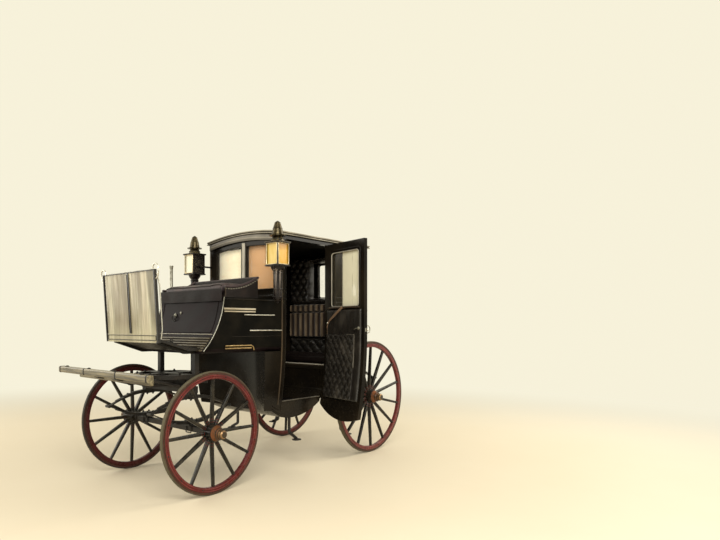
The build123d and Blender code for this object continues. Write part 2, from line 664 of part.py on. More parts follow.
# Lamps: glazed boxes shut on their inner and rear sides, bracketed to the front pillars
LAMP_TOP = LAMP_Z + LAMP_H
BRACKET_Z = LAMP_Z + BRACKET_RISE
BRACKET_X = BODY_HALF - BRACKET_W
for side, name in ((1, "left"), (-1, "right")):
    lamp_x = side * LAMP_X
    half = LAMP_W / 2
    lamp_plane = Plane(origin=(lamp_x, LAMP_Y, 0), x_dir=(1, 0, 0), z_dir=(0, -1, 0))
    with BuildPart() as lamp:
        for rim_z, grow in ((LAMP_Z - LAMP_RIM, LAMP_RIM_OUT), (LAMP_TOP, 2 * LAMP_RIM_OUT)):
            with BuildSketch(Plane.XY.offset(rim_z)):
                with Locations((lamp_x, LAMP_Y)):
                    Rectangle(LAMP_W + 2 * grow, LAMP_W + 2 * grow)
            extrude(amount=LAMP_RIM)
        with BuildSketch(Plane.XY.offset(LAMP_Z)):
            with Locations((lamp_x, LAMP_Y)):
                with GridLocations(LAMP_W - LAMP_POST, LAMP_W - LAMP_POST, 2, 2):
                    Rectangle(LAMP_POST, LAMP_POST)
            with Locations((side * (LAMP_X - half + LAMP_PLATE / 2), LAMP_Y)):
                Rectangle(LAMP_PLATE, LAMP_W)
            with Locations((lamp_x, LAMP_Y + half - LAMP_PLATE / 2)):
                Rectangle(LAMP_W, LAMP_PLATE)
        extrude(amount=LAMP_H)
        with BuildSketch(lamp_plane):
            with BuildLine():
                chimney = [(r, LAMP_TOP + LAMP_RIM + rise) for rise, r in CHIMNEY]
                Polyline((0, chimney[0][1]), *chimney, (0, chimney[-1][1]), (0, chimney[0][1]))
            make_face()
            with BuildLine():
                bowl = [(r, LAMP_Z - LAMP_RIM + fall) for fall, r in BOWL]
                foot = ((LAMP_TUBE_R, LAMP_TUBE_END + LAMP_RIM), (LAMP_TUBE_R - LAMP_RIM, LAMP_TUBE_END))
                Polyline((0, bowl[0][1]), *bowl, *foot, (0, LAMP_TUBE_END), (0, bowl[0][1]))
            make_face()
        revolve(axis=Axis((lamp_x, LAMP_Y, 0), (0, 0, 1)))
        with BuildSketch(Plane.XY.offset(BRACKET_Z)):
            with Locations((side * (LAMP_X - half + BRACKET_X) / 2, LAMP_Y)):
                Rectangle(LAMP_X - half - BRACKET_X, BRACKET_W)
            with Locations((side * (BRACKET_X + BRACKET_W / 2), (LAMP_Y + CABIN_FRONT) / 2)):
                Rectangle(BRACKET_W, CABIN_FRONT - LAMP_Y)
        extrude(amount=BRACKET_T)
    keep(lamp, f"{name}_lamp")
    with BuildPart() as lamp_glass:
        with BuildSketch(Plane.XY.offset(LAMP_Z)):
            with Locations((lamp_x, LAMP_Y)):
                Rectangle(LAMP_W - 2 * LAMP_GLASS_IN, LAMP_W - 2 * LAMP_GLASS_IN)
        extrude(amount=LAMP_H)
    keep(lamp_glass, f"{name}_lamp_glass")

# Doors: bent slabs with a window, cut to the body's side view
DOOR_TOP = WALL_TOP - DOOR_GAP
LEAF_FRONT = DOOR_FRONT + DOOR_GAP
LEAF_BACK = DOOR_BACK - DOOR_GAP
DOOR_WIN_FRONT = LEAF_FRONT + LOCK_STILE
DOOR_WIN_BACK = LEAF_BACK - HINGE_STILE
DOOR_WIN_CORNER = 24.0

with BuildPart(mode=Mode.PRIVATE) as door_window:
    with BuildSketch(along(-BODY_HALF - DOOR_T)):
        with Locations(((DOOR_WIN_FRONT + DOOR_WIN_BACK) / 2, (DOOR_WIN_LOW + DOOR_WIN_TOP) / 2)):
            RectangleRounded(DOOR_WIN_BACK - DOOR_WIN_FRONT, DOOR_WIN_TOP - DOOR_WIN_LOW, DOOR_WIN_CORNER)
    extrude(amount=2 * (BODY_HALF + DOOR_T))


for side, name in ((1, "left"), (-1, "right")):
    swing = DOOR_OPEN if side == 1 else 0.0
    place = Pos(side * HINGE_X, DOOR_BACK, 0) * Rot(0, 0, swing) * Pos(-side * HINGE_X, -DOOR_BACK, 0)
    door_y = (LEAF_FRONT, LEAF_BACK)
    blank = side_slab(side, 0.0, DOOR_T, *door_y) & BODY_OUT & slice_box(*door_y, 0.0, DOOR_TOP)
    pane = side_slab(side, DOOR_T / 2 - GLASS_T / 2, GLASS_T, *door_y) & door_window.part
    lining_y = (LEAF_FRONT + LINING_IN, LEAF_BACK - LINING_IN)
    lining = side_slab(side, DOOR_T + SOFT_GAP, LINING_T, *lining_y)
    lining = lining & slice_box(*lining_y, SILL_TOP + 20, DOOR_WIN_LOW - 30)
    door_knuckles = knuckles(side, KNUCKLE_H + KNUCKLE_GAP, -HINGE_LEAF, True)
    with BuildPart() as door:
        add(place * (blank - door_window.part + door_knuckles))
    keep(door, f"{name}_door")
    with BuildPart() as door_glass:
        add(place * pane)
    keep(door_glass, f"{name}_door_glass")
    with BuildPart() as door_lining:
        add(place * lining)
    keep(door_lining, f"{name}_door_lining")
    with BuildPart(mode=Mode.PRIVATE) as handle_shape:
        with BuildSketch(along(side * BODY_HALF)):
            with Locations((LEAF_FRONT + HANDLE_IN, HANDLE_Z)):
                Circle(HANDLE_BOSS_R)
        extrude(amount=side * HANDLE_STAND)
        with BuildSketch(along(side * (BODY_HALF + HANDLE_STAND))):
            with Locations((LEAF_FRONT + HANDLE_IN + HANDLE_LEN / 2 - HANDLE_BOSS_R, HANDLE_Z)):
                SlotOverall(HANDLE_LEN, HANDLE_W)
        extrude(amount=side * HANDLE_T)
    with BuildPart() as door_handle:
        add(place * handle_shape.part)
    keep(door_handle, f"{name}_door_handle")


def leaf_band(centre_y, centre_z, radius, half_angle, thick, up):
    """One leaf as an arc band; `up` is 1 for a leaf bowed upwards and -1 for one bowed down."""
    inner = radius - thick
    points = []
    for r in (radius, inner):
        for turn in (-half_angle, 0.0, half_angle):
            points.append((centre_y + r * math.sin(turn), centre_z + up * r * math.cos(turn)))
    ThreePointArc(points[0], points[1], points[2])
    Line(points[2], points[5])
    ThreePointArc(points[5], points[4], points[3])
    Line(points[3], points[0])


SPRING_R = ((SPRING_LEN / 2) ** 2 + SPRING_CAMBER ** 2) / (2 * SPRING_CAMBER)
SPRING_ANGLE = math.asin(SPRING_LEN / 2 / SPRING_R)


def elliptic_pair(builder_xs, centre_y, base_z):
    """Two full elliptic springs standing on base_z, with stepped leaves and pinned eyes."""
    eye_z = base_z + SPRING_H / 2
    with BuildPart() as pair:
        for x in builder_xs:
            for up in (1, -1):
                middle = eye_z - up * (SPRING_R - SPRING_CAMBER)
                for leaf in range(LEAF_COUNT):
                    angle = SPRING_ANGLE * (1 - LEAF_STEP * leaf)
                    with BuildSketch(along(x - LEAF_W / 2)):
                        with BuildLine():
                            leaf_band(centre_y, middle, SPRING_R + leaf * LEAF_T, angle, LEAF_T, up)
                        make_face()
                    extrude(amount=LEAF_W)
                pad_h = SPRING_BLOCK + LEAF_COUNT * LEAF_T + SPRING_EYE / 3
                with BuildSketch(along(x - LEAF_W / 2 - PAD_OVER)):
                    with Locations((centre_y, eye_z + up * (SPRING_H - pad_h) / 2)):
                        Rectangle(SPRING_PAD, pad_h)
                extrude(amount=LEAF_W + 2 * PAD_OVER)
            with BuildSketch(along(x - LEAF_W / 2 - PAD_OVER)):
                for end in (-1, 1):
                    with Locations((centre_y + end * (SPRING_LEN / 2 + SPRING_EYE / 3), eye_z)):
                        Circle(SPRING_EYE)
            extrude(amount=LEAF_W + 2 * PAD_OVER)
    return pair.part


def axle(track, radius, centre_y, bed_half):
    """A square bed with a round arm at each end."""
    with BuildPart() as beam:
        with BuildSketch(along(-bed_half)):
            with Locations((centre_y, radius)):
                RectangleRounded(AXLE_BED, AXLE_BED, AXLE_BED / 8)
        extrude(amount=2 * bed_half)
        arm_end = track / 2 + HUB_OUT - 2 * HUB_FLOAT
        with BuildSketch(along(-arm_end)):
            with Locations((centre_y, radius)):
                Circle(AXLE_ARM_R)
        extrude(amount=2 * arm_end)
    return beam.part


# Rear axle, springs and the irons that carry the body on them
REAR_BED_HALF = REAR_TRACK / 2 - HUB_IN - HUB_FLOAT
with BuildPart() as rear_axle:
    add(axle(REAR_TRACK, REAR_WHEEL_R, WHEELBASE, REAR_BED_HALF))
keep(rear_axle, "rear_axle")

REAR_SPRING_BASE = REAR_WHEEL_R + AXLE_BED / 2
with BuildPart() as rear_springs:
    add(elliptic_pair((-REAR_SPRING_X, REAR_SPRING_X), WHEELBASE, REAR_SPRING_BASE))
keep(rear_springs, "rear_springs")

IRON_LOW = SPRING_TOP
IRON_T = 16.0
IRON_W = 44.0
IRON_FRONT = UNDERSEAT_LOW[0] - 50.0
irons_out = outline(-IRON_T)
with BuildPart() as body_irons:
    for x in (-REAR_SPRING_X, REAR_SPRING_X):
        with BuildSketch(along(x - IRON_W / 2)):
            with Locations(((IRON_FRONT + WHEELBASE) / 2, (BOTTOM_REAR[1] + IRON_LOW + 70) / 2)):
                Rectangle(WHEELBASE - IRON_FRONT, IRON_LOW + 70 - BOTTOM_REAR[1])
        extrude(amount=IRON_W)
    add(irons_out, mode=Mode.INTERSECT)
    for x in (-REAR_SPRING_X, REAR_SPRING_X):
        with BuildSketch(along(x - IRON_W / 2)):
            with Locations((WHEELBASE, IRON_LOW + 35)):
                Rectangle(100, 70)
        extrude(amount=IRON_W)
    add(BODY_OUT, mode=Mode.SUBTRACT)
keep(body_irons, "body_irons")

# Steps: bent irons with a small foot plate, one under each doorway and one behind it
STEP_IRON = 24.0
STEP_W = 18.0
STEP_BEND = 30.0
FOOT_PLATE = (74.0, 90.0)
FOOT_PLATE_T = 8.0
STEP_TABLE = (
    (BODY_HALF - 148.0, DOOR_FRONT + 200.0, UNDER_Z - 145.0, 100.0, 50.0),
    (BODY_HALF - 62.0, WHEELBASE - 310.0, UNDER_Z - 205.0, 90.0, 26.0),
)
with BuildPart() as steps:
    for step_x, step_y, knee_z, reach, drop in STEP_TABLE:
        for side in (1, -1):
            foot_x = side * (step_x + reach)
            foot_z = knee_z - drop
            with BuildSketch(across(step_y + STEP_W / 2)):
                with BuildLine():
                    FilletPolyline(
                        (side * step_x, SPRING_TOP),
                        (side * step_x, knee_z),
                        (foot_x, foot_z),
                        radius=STEP_BEND,
                    )
                trace(line_width=STEP_IRON)
            extrude(amount=STEP_W)
            with BuildSketch(Plane.XY.offset(foot_z - STEP_IRON / 2)):
                with Locations((foot_x, step_y)):
                    RectangleRounded(FOOT_PLATE[0], FOOT_PLATE[1], STEP_BEND)
            extrude(amount=FOOT_PLATE_T)
    add(BODY_OUT, mode=Mode.SUBTRACT)
keep(steps, "steps")

# Upper turntable: a ring and cross bolster under the boot, with the kingpin
FRONT_SPRING_BASE = FRONT_WHEEL_R + AXLE_BED / 2
TRANSOM_LOW = FRONT_SPRING_BASE + SPRING_H
FUTCHELL_LOW = TRANSOM_LOW + TRANSOM_H
LOWER_RING = FUTCHELL_LOW + FUTCHELL_H
UPPER_RING = LOWER_RING + RING_T + RING_GAP
SPLINTER_Z = FUTCHELL_LOW + SPLINTER_RISE
POST_W = 44.0
POST_REACH = RING_R - RING_W / 2
POST_BACK = 95.0
POST_SIDE = math.sqrt(POST_REACH ** 2 - POST_BACK ** 2)
with BuildPart() as upper_turntable:
    with BuildSketch(Plane.XY.offset(UPPER_RING)):
        Circle(RING_R)
        Circle(RING_R - RING_W, mode=Mode.SUBTRACT)
        Rectangle(2 * RING_R - 20, TRANSOM_W)
        Rectangle(TRANSOM_W, 2 * RING_R - 20)
    extrude(amount=RING_T)
    with BuildSketch(Plane.XY.offset(UPPER_RING + RING_T)):
        with Locations((0, POST_REACH), (POST_SIDE, POST_BACK), (-POST_SIDE, POST_BACK)):
            Rectangle(POST_W, POST_W)
    extrude(amount=WHEELHOUSE_TOP - UPPER_RING - RING_T)
    with BuildSketch(Plane.XY.offset(TRANSOM_LOW - 20)):
        Circle(KINGPIN_R)
    extrude(amount=UPPER_RING + RING_T - TRANSOM_LOW + 20)
keep(upper_turntable, "upper_turntable")

# Lower turntable: transom, ring and cross bar, bored for the kingpin
with BuildPart() as lower_turntable:
    with BuildSketch(Plane.XY.offset(TRANSOM_LOW)):
        Rectangle(2 * (FRONT_SPRING_X + 40), TRANSOM_W)
    extrude(amount=TRANSOM_H)
    with BuildSketch(Plane.XY.offset(FUTCHELL_LOW)):
        Rectangle(2 * (FUTCHELL_X - FUTCHELL_W / 2), TRANSOM_W)
    extrude(amount=FUTCHELL_H)
    with BuildSketch(Plane.XY.offset(LOWER_RING)):
        Circle(RING_R)
        Circle(RING_R - RING_W, mode=Mode.SUBTRACT)
        Rectangle(2 * RING_R - 20, TRANSOM_W)
    extrude(amount=RING_T)
    with BuildSketch(Plane.XY.offset(TRANSOM_LOW)):
        Circle(KINGPIN_R + RUN_FIT)
    extrude(amount=LOWER_RING + RING_T - TRANSOM_LOW, mode=Mode.SUBTRACT)
keep(lower_turntable, "lower_turntable")

# Futchells: two beams along the forecarriage that carry the splinter bar
with BuildPart() as futchells:
    for x in (-FUTCHELL_X, FUTCHELL_X):
        with BuildSketch(along(x - FUTCHELL_W / 2)):
            with BuildLine():
                Polyline(
                    (RING_R, FUTCHELL_LOW),
                    (-RING_R, FUTCHELL_LOW),
                    (SPLINTER_Y, SPLINTER_Z - SPLINTER_R - 40),
                    (SPLINTER_Y, SPLINTER_Z - SPLINTER_R),
                    (-RING_R - 60, FUTCHELL_LOW + FUTCHELL_H),
                    (RING_R, FUTCHELL_LOW + FUTCHELL_H),
                    (RING_R, FUTCHELL_LOW),
                )
            make_face()
        extrude(amount=FUTCHELL_W)
keep(futchells, "futchells")

with BuildPart() as splinter_bar:
    with BuildSketch(along(-SPLINTER_HALF)):
        with Locations((SPLINTER_Y - SPLINTER_T / 2, SPLINTER_Z - SPLINTER_R)):
            RectangleRounded(SPLINTER_T, 2 * SPLINTER_R, 12)
    extrude(amount=2 * SPLINTER_HALF)
keep(splinter_bar, "splinter_bar")

FRONT_BED_HALF = FRONT_TRACK / 2 - HUB_IN - HUB_FLOAT
with BuildPart() as front_axle:
    add(axle(FRONT_TRACK, FRONT_WHEEL_R, 0.0, FRONT_BED_HALF))
keep(front_axle, "front_axle")

with BuildPart() as front_springs:
    add(elliptic_pair((-FRONT_SPRING_X, FRONT_SPRING_X), 0.0, FRONT_SPRING_BASE))
keep(front_springs, "front_springs")


def wheel(radius, spokes, side):
    """Hub, dished spokes and felloes about the X axis, hub cap towards the outside."""
    felloe_out = radius - TYRE_T
    felloe_in = felloe_out - FELLOE_T
    spoke_from = HUB_R - SPOKE_TENON
    spoke_to = felloe_in + FELLOE_T / 2
    lean = math.radians(side * SPOKE_DISH)
    foot_x = -(felloe_in + FELLOE_T / 2) * math.tan(lean)
    with BuildPart() as body:
        with BuildSketch(Plane.XY):
            with BuildLine():
                Polyline(
                    (side * -HUB_IN, 0),
                    (side * -HUB_IN, HUB_R - 16),
                    (side * -40, HUB_R),
                    (side * 40, HUB_R),
                    (side * (HUB_OUT - 14), HUB_R - 20),
                    (side * HUB_OUT, CAP_R),
                    (side * (HUB_OUT + CAP_L - 8), CAP_R - 4),
                    (side * (HUB_OUT + CAP_L), CAP_R - 12),
                    (side * (HUB_OUT + CAP_L), 0),
                    (side * -HUB_IN, 0),
                )
            make_face()
        revolve(axis=Axis.X)
        with BuildSketch(Plane.XY):
            with Locations((0, (felloe_in + felloe_out) / 2)):
                RectangleRounded(FELLOE_W, FELLOE_T, 7)
        revolve(axis=Axis.X)
        for index in range(spokes):
            turn = 360.0 / spokes * index
            start = Plane(
                origin=(foot_x, 0, 0),
                x_dir=Vector(math.cos(lean), 0, -math.sin(lean)).rotate(Axis.X, turn),
                z_dir=Vector(math.sin(lean), 0, math.cos(lean)).rotate(Axis.X, turn),
            )
            with BuildSketch(start.offset(spoke_from)):
                RectangleRounded(SPOKE_ROOT[0], SPOKE_ROOT[1], SPOKE_EDGE)
            with BuildSketch(start.offset(spoke_to)):
                RectangleRounded(SPOKE_TIP[0], SPOKE_TIP[1], SPOKE_EDGE)
            loft(ruled=True)
        with BuildSketch(Plane.YZ.offset(side * -HUB_IN)):
            Circle(AXLE_ARM_R + RUN_FIT)
        extrude(amount=side * (HUB_IN + HUB_OUT - 4), mode=Mode.SUBTRACT)
    return body.part


def tyre(radius):
    """A rubber band round the felloes."""
    with BuildPart() as band:
        with BuildSketch(Plane.XY):
            with Locations((0, radius - TYRE_T / 2)):
                RectangleRounded(TYRE_W, TYRE_T, 7)
        revolve(axis=Axis.X)
    return band.part


# Wheel stations: name, side, track, radius, station along the coach, spoke count
WHEEL_TABLE = (
    ("front_left", 1, FRONT_TRACK, FRONT_WHEEL_R, 0.0, 12),
    ("front_right", -1, FRONT_TRACK, FRONT_WHEEL_R, 0.0, 12),
    ("rear_left", 1, REAR_TRACK, REAR_WHEEL_R, WHEELBASE, 14),
    ("rear_right", -1, REAR_TRACK, REAR_WHEEL_R, WHEELBASE, 14),
)
for name, side, track, radius, station, spoke_count in WHEEL_TABLE:
    seat = Pos(side * track / 2, station, radius)
    shape = wheel(radius, spoke_count, side)
    band_shape = tyre(radius)
    with BuildPart() as wheel_part:
        add(seat * shape)
    keep(wheel_part, f"{name}_wheel")
    with BuildPart() as tyre_part:
        add(seat * band_shape)
    keep(tyre_part, f"{name}_tyre")
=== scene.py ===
"""The look of a closed town coach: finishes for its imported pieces, and its trim, upholstery and fittings."""
import contextlib
import math

import bpy
from mathutils import Matrix, Vector


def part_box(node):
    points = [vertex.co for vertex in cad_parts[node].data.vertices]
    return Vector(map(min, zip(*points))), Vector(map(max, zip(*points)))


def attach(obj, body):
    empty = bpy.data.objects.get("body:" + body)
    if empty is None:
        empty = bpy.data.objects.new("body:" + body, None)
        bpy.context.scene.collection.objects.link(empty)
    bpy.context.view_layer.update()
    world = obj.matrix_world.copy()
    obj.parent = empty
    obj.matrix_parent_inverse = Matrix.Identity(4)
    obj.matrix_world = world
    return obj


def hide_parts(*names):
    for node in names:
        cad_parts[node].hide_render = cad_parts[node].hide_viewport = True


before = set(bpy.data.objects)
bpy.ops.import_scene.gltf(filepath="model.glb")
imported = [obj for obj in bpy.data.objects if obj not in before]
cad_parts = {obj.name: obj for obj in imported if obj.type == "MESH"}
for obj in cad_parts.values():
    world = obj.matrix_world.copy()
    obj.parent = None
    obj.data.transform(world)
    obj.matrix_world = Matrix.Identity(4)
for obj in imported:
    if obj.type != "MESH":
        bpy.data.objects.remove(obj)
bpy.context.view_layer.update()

# The coach is laid out about the point on the ground under its kingpin
axle_low, axle_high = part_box("front_axle")
KINGPIN = Vector(((axle_low[0] + axle_high[0]) / 2, (axle_low[1] + axle_high[1]) / 2, 0))
BELT, BELLY, TURN_UNDER, SIDE = 1.3, 0.46, 0.09, 0.53
TURN_R = ((BELT - BELLY) ** 2 + TURN_UNDER ** 2) / (2 * TURN_UNDER)
ROOF_SIDE, ROOF_TOP, ROOF_HALF, ROOF_FRONT, ROOF_BACK = 2.256, 2.306, 0.552, 0.878, 2.272
HINGE = Vector((0.54, 1.575, 0))
DOOR_OPEN = math.radians(76)
FLOOR_ARC = ((0.83, 0.565), (1.2, BELLY), (1.63, 0.633))
WINDOW = (1.045, 1.449, 1.56, 2.085)
WALL = 0.036
BOX_NARROW, BOX_WIDE, CABIN_FRONT = 0.455, 0.53, 0.9
LAMP_AT, LAMP_TUBE_TOP, LAMP_CASE_TOP = Vector((0.616, 0.752, 0)), 1.905, 2.117
NAVE_R, RIM_DEEP = 0.075, 0.0435


def side_x(z):
    """Half-width of the body at a height."""
    return SIDE if z >= BELT else SIDE - TURN_R + math.sqrt(TURN_R ** 2 - (BELT - z) ** 2)


def arc(start, through, end, count):
    """Points on the arc through three points of a plane."""
    (ax, ay), (bx, by), (cx, cy) = start, through, end
    d = 2 * (ax * (by - cy) + bx * (cy - ay) + cx * (ay - by))
    sa, sb, sc = ax * ax + ay * ay, bx * bx + by * by, cx * cx + cy * cy
    ux = (sa * (by - cy) + sb * (cy - ay) + sc * (ay - by)) / d
    uy = (sa * (cx - bx) + sb * (ax - cx) + sc * (bx - ax)) / d
    r = math.hypot(ax - ux, ay - uy)
    a0, a1, a2 = (math.atan2(y - uy, x - ux) for x, y in (start, through, end))
    full = 2 * math.pi
    span = (a2 - a0) % full
    if (a1 - a0) % full > span:
        span -= full
    return [(ux + r * math.cos(a0 + span * i / count), uy + r * math.sin(a0 + span * i / count))
            for i in range(count + 1)]


def rounded(a0, a1, b0, b1, r, count=4):
    """A closed rounded rectangle in two coordinates, its first point repeated at its end."""
    points = []
    for ca, cb, turn in ((a1 - r, b1 - r, 0), (a0 + r, b1 - r, 90), (a0 + r, b0 + r, 180), (a1 - r, b0 + r, 270)):
        for i in range(count + 1):
            angle = math.radians(turn + 90 * i / count)
            points.append((ca + r * math.cos(angle), cb + r * math.sin(angle)))
    return points + points[:1]


def roof_arch(half, count):
    """Points across the roof's arch, stretched to a half-width."""
    return arc((-half, ROOF_SIDE), (0, ROOF_TOP), (half, ROOF_SIDE), count)


# Shader values and finishes


class Value:
    """A socket of a finish; arithmetic on it adds Math nodes."""

    def __init__(self, finish, socket):
        self.finish = finish
        self.socket = socket

    def maths(self, operation, *values):
        return self.finish.node("ShaderNodeMath", {"operation": operation}, dict(enumerate(values)))

    def __add__(self, other):
        return self.maths("ADD", self, other)

    def __sub__(self, other):
        return self.maths("SUBTRACT", self, other)

    def __rsub__(self, other):
        return self.maths("SUBTRACT", other, self)

    def __mul__(self, other):
        return self.maths("MULTIPLY", self, other)

    def __pow__(self, other):
        return self.maths("POWER", self, other)

    def __abs__(self):
        return self.maths("ABSOLUTE", self)

    def __gt__(self, other):
        return self.maths("GREATER_THAN", self, other)

    def __lt__(self, other):
        return self.maths("LESS_THAN", self, other)

    __radd__ = __add__
    __rmul__ = __mul__

    def wave(self):
        return self.maths("SINE", self)

    def ramp(self, low, high):
        """From 0 at low to 1 at high, smoothly."""
        return self.finish.node("ShaderNodeMapRange", {"interpolation_type": "SMOOTHSTEP"},
                                {"Value": self, "From Min": low, "From Max": high})


class Finish:
    """A material: constants go on its shader's own sockets, patterns are linked to them."""

    def __init__(self, name, **fixed):
        self.material = bpy.data.materials.new(name)
        self.material.use_nodes = True
        self.tree = self.material.node_tree
        self.shader = self.tree.nodes["Principled BSDF"]
        for socket, value in fixed.items():
            self.shader.inputs[socket.replace("_", " ")].default_value = value
        self.place = self.node("ShaderNodeTexCoord", {}, {}, "Object")
        self.x, self.y, self.z = (
            self.node("ShaderNodeSeparateXYZ", {}, {0: self.place}, axis) - KINGPIN[index]
            for index, axis in enumerate("XYZ")
        )

    def node(self, kind, settings, inputs, output=0):
        """Add a node: its settings first, then the values or links of its sockets."""
        made = self.tree.nodes.new(kind)
        for key, value in settings.items():
            setattr(made, key, value)
        for key, value in inputs.items():
            if isinstance(value, Value):
                self.tree.links.new(value.socket, made.inputs[key])
            else:
                made.inputs[key].default_value = value
        return Value(self, made.outputs[output])

    def stretched(self, stretch):
        return self.node("ShaderNodeMapping", {}, {"Vector": self.place, "Scale": stretch})

    def noise(self, scale, detail=4.0, stretch=(1, 1, 1), rough=0.55):
        return self.node("ShaderNodeTexNoise", {},
                         {"Vector": self.stretched(stretch), "Scale": scale, "Detail": detail, "Roughness": rough})

    def cells(self, scale, stretch=(1, 1, 1)):
        return self.node("ShaderNodeTexVoronoi", {"feature": "DISTANCE_TO_EDGE"},
                         {"Vector": self.stretched(stretch), "Scale": scale})

    def mix(self, factor, first, second):
        return self.node("ShaderNodeMix", {"data_type": "RGBA"}, {0: factor, 6: first, 7: second}, 2)

    def set(self, **links):
        for socket, value in links.items():
            self.tree.links.new(value.socket, self.shader.inputs[socket.replace("_", " ")])
        return self

    def relief(self, height, depth, strength=1.0):
        """Bump a height of 0 to 1 by a depth in metres."""
        return self.set(Normal=self.node("ShaderNodeBump", {}, {"Height": height, "Distance": depth,
                                                                "Strength": strength}, "Normal"))


def rgb(r, g, b):
    return (r, g, b, 1.0)


def lacquer(name, deep, glow, rough=0.14, coat=0.04, shine=0.11):
    """Coach paint: deep gloss with a faint swirl of polish, dust and small scuffs."""
    paint = Finish(name, Coat_Weight=coat, Coat_Roughness=0.06, Specular_IOR_Level=shine)
    cloud = paint.noise(2.2, 5.0)
    dust = paint.noise(38.0, 6.0).ramp(0.45, 0.95) * (1.0 - paint.z.ramp(0.35, 1.5))
    scuff = paint.noise(90.0, 3.0, (1, 1, 6)).ramp(0.66, 0.74) * paint.noise(5.0, 2.0).ramp(0.5, 0.7)
    colour = paint.mix(cloud.ramp(0.35, 0.75), deep, glow)
    foot = (1.0 - paint.z.ramp(0.44, 0.78)) * paint.noise(3.5, 3.0, (1, 1, 0.4)).ramp(0.35, 0.7)
    colour = paint.mix(foot * 0.3, colour, rgb(0.04, 0.028, 0.015))
    colour = paint.mix(dust * 0.12, colour, rgb(0.06, 0.048, 0.032))
    paint.set(Base_Color=paint.mix(scuff * 0.4, colour, rgb(0.13, 0.11, 0.085)))
    paint.set(Roughness=rough + cloud * 0.12 + dust * 0.35 + scuff * 0.2)
    return paint.relief(paint.noise(160.0, 2.0) * 0.3 + scuff * -0.5, 0.0004)


def boot_paint(name):
    """The driver's box: worn plum leather-paint on its front, plain black at its sides."""
    paint = Finish(name, Specular_IOR_Level=0.05)
    side = abs(paint.x) - paint.y * ((BOX_WIDE - BOX_NARROW) / CABIN_FRONT) > BOX_NARROW - 0.004
    cloud = paint.noise(6.0, 5.0).ramp(0.35, 0.75)
    scuff = paint.noise(70.0, 4.0, (1, 1, 3)).ramp(0.62, 0.75)
    plum = paint.mix(cloud, rgb(0.006, 0.004, 0.0045), rgb(0.015, 0.0095, 0.011))
    plum = paint.mix(scuff * 0.3, plum, rgb(0.04, 0.03, 0.03))
    black = paint.mix(cloud, rgb(0.003, 0.0028, 0.0022), rgb(0.009, 0.0075, 0.005))
    paint.set(Base_Color=paint.mix(side, plum, black), Roughness=0.3 + cloud * 0.12 + scuff * 0.2)
    return paint.relief(paint.noise(180.0, 3.0) + scuff * -0.4, 0.0004)


def hide(name, deep, worn, rough=0.38, grain=260.0, crease=0.0012, shine=0.3):
    """Leather: fine pebbled grain, soft creases, rubbed high spots."""
    skin = Finish(name, Specular_IOR_Level=shine)
    rubbed = skin.noise(7.0, 5.0).ramp(0.45, 0.75)
    pebble = skin.cells(grain).ramp(0.0, 0.28)
    folds = skin.noise(16.0, 4.0, (1, 1, 2.5))
    skin.set(Base_Color=skin.mix(rubbed * 0.7 + (1.0 - pebble) * -0.15, deep, worn))
    skin.set(Roughness=rough + rubbed * 0.14 + skin.noise(60.0) * 0.1)
    return skin.relief(pebble * 0.22 + folds, crease)


def iron_paint(name, deep, rust, rough=0.4):
    """Painted ironwork with road dirt in patches and rust where the paint is thin."""
    iron = Finish(name, Specular_IOR_Level=0.3)
    chips = iron.noise(46.0, 6.0).ramp(0.6, 0.7)
    dirt = iron.noise(9.0, 5.0).ramp(0.4, 0.8)
    iron.set(Base_Color=iron.mix(chips * 0.6 + dirt * 0.25, deep, rust))
    iron.set(Roughness=rough + chips * 0.3 + dirt * 0.15)
    return iron.relief(iron.noise(120.0, 4.0) + chips * -0.6, 0.0006)


def bright(name, colour, tarnish, rough=0.2):
    """Polished metal with tarnish in clouds and fine wiping marks."""
    metal = Finish(name, Metallic=1.0)
    cloud = metal.noise(24.0, 5.0).ramp(0.42, 0.72)
    metal.set(Base_Color=metal.mix(cloud * 0.75, colour, tarnish))
    metal.set(Roughness=rough + cloud * 0.22 + metal.noise(300.0, 2.0, (1, 1, 0.15)) * 0.08)
    return metal.relief(metal.noise(420.0, 2.0), 0.00015)


def cloth(name, deep, pale, threads=900.0, rough=0.85, through=0.0):
    """Woven cloth: crossing threads, slubs and soft fading; through is the strength of a painted glow in the cloth's
    own colour, standing in for daylight showing through it.
    """
    weave = Finish(name, Sheen_Weight=0.35, Sheen_Roughness=0.5, Specular_IOR_Level=0.25, Emission_Strength=through)
    warp = ((weave.x + weave.y) * threads).wave()
    weft = (weave.z * threads).wave()
    thread = (warp * weft) * 0.5 + 0.5
    fade = weave.noise(5.0, 4.0).ramp(0.3, 0.8)
    colour = weave.mix(fade * 0.6 + thread * 0.3, deep, pale)
    # Painted glow: the cloth gives out its own colour as emission, as if lit from behind.
    weave.set(Base_Color=colour, Emission_Color=colour, Roughness=rough + thread * 0.1)
    return weave.relief(thread * 0.5 + weave.noise(60.0), 0.0006)


def fluted_cloth(name, pitch):
    """Brown cloth sewn in flutes: pale along each ridge, partly rubbed wear and partly painted highlight, and dark in
    the seams between them as painted shade.
    """
    weave = Finish(name, Sheen_Weight=0.3, Sheen_Roughness=0.5, Specular_IOR_Level=0.25)
    # Painted light: pale on the ridges (painted highlight and rubbed wear), dark in the seams (painted shade).
    ridge_highlight_and_wear = abs((weave.x * (math.pi / pitch)).wave()).ramp(0.55, 0.98)
    fade = weave.noise(13.0, 4.0, (1, 1, 0.35)).ramp(0.3, 0.7)
    thread = ((weave.x * 900.0).wave() * (weave.z * 900.0).wave()) * 0.5 + 0.5
    colour = weave.mix(ridge_highlight_and_wear * (fade * 0.6 + 0.4), rgb(0.022, 0.013, 0.008), rgb(0.36, 0.265, 0.165))
    weave.set(Base_Color=weave.mix(thread * 0.25, colour, rgb(0.03, 0.02, 0.012)), Roughness=0.8 + thread * 0.15)
    return weave.relief(thread * 0.5 + weave.noise(60.0), 0.0006)


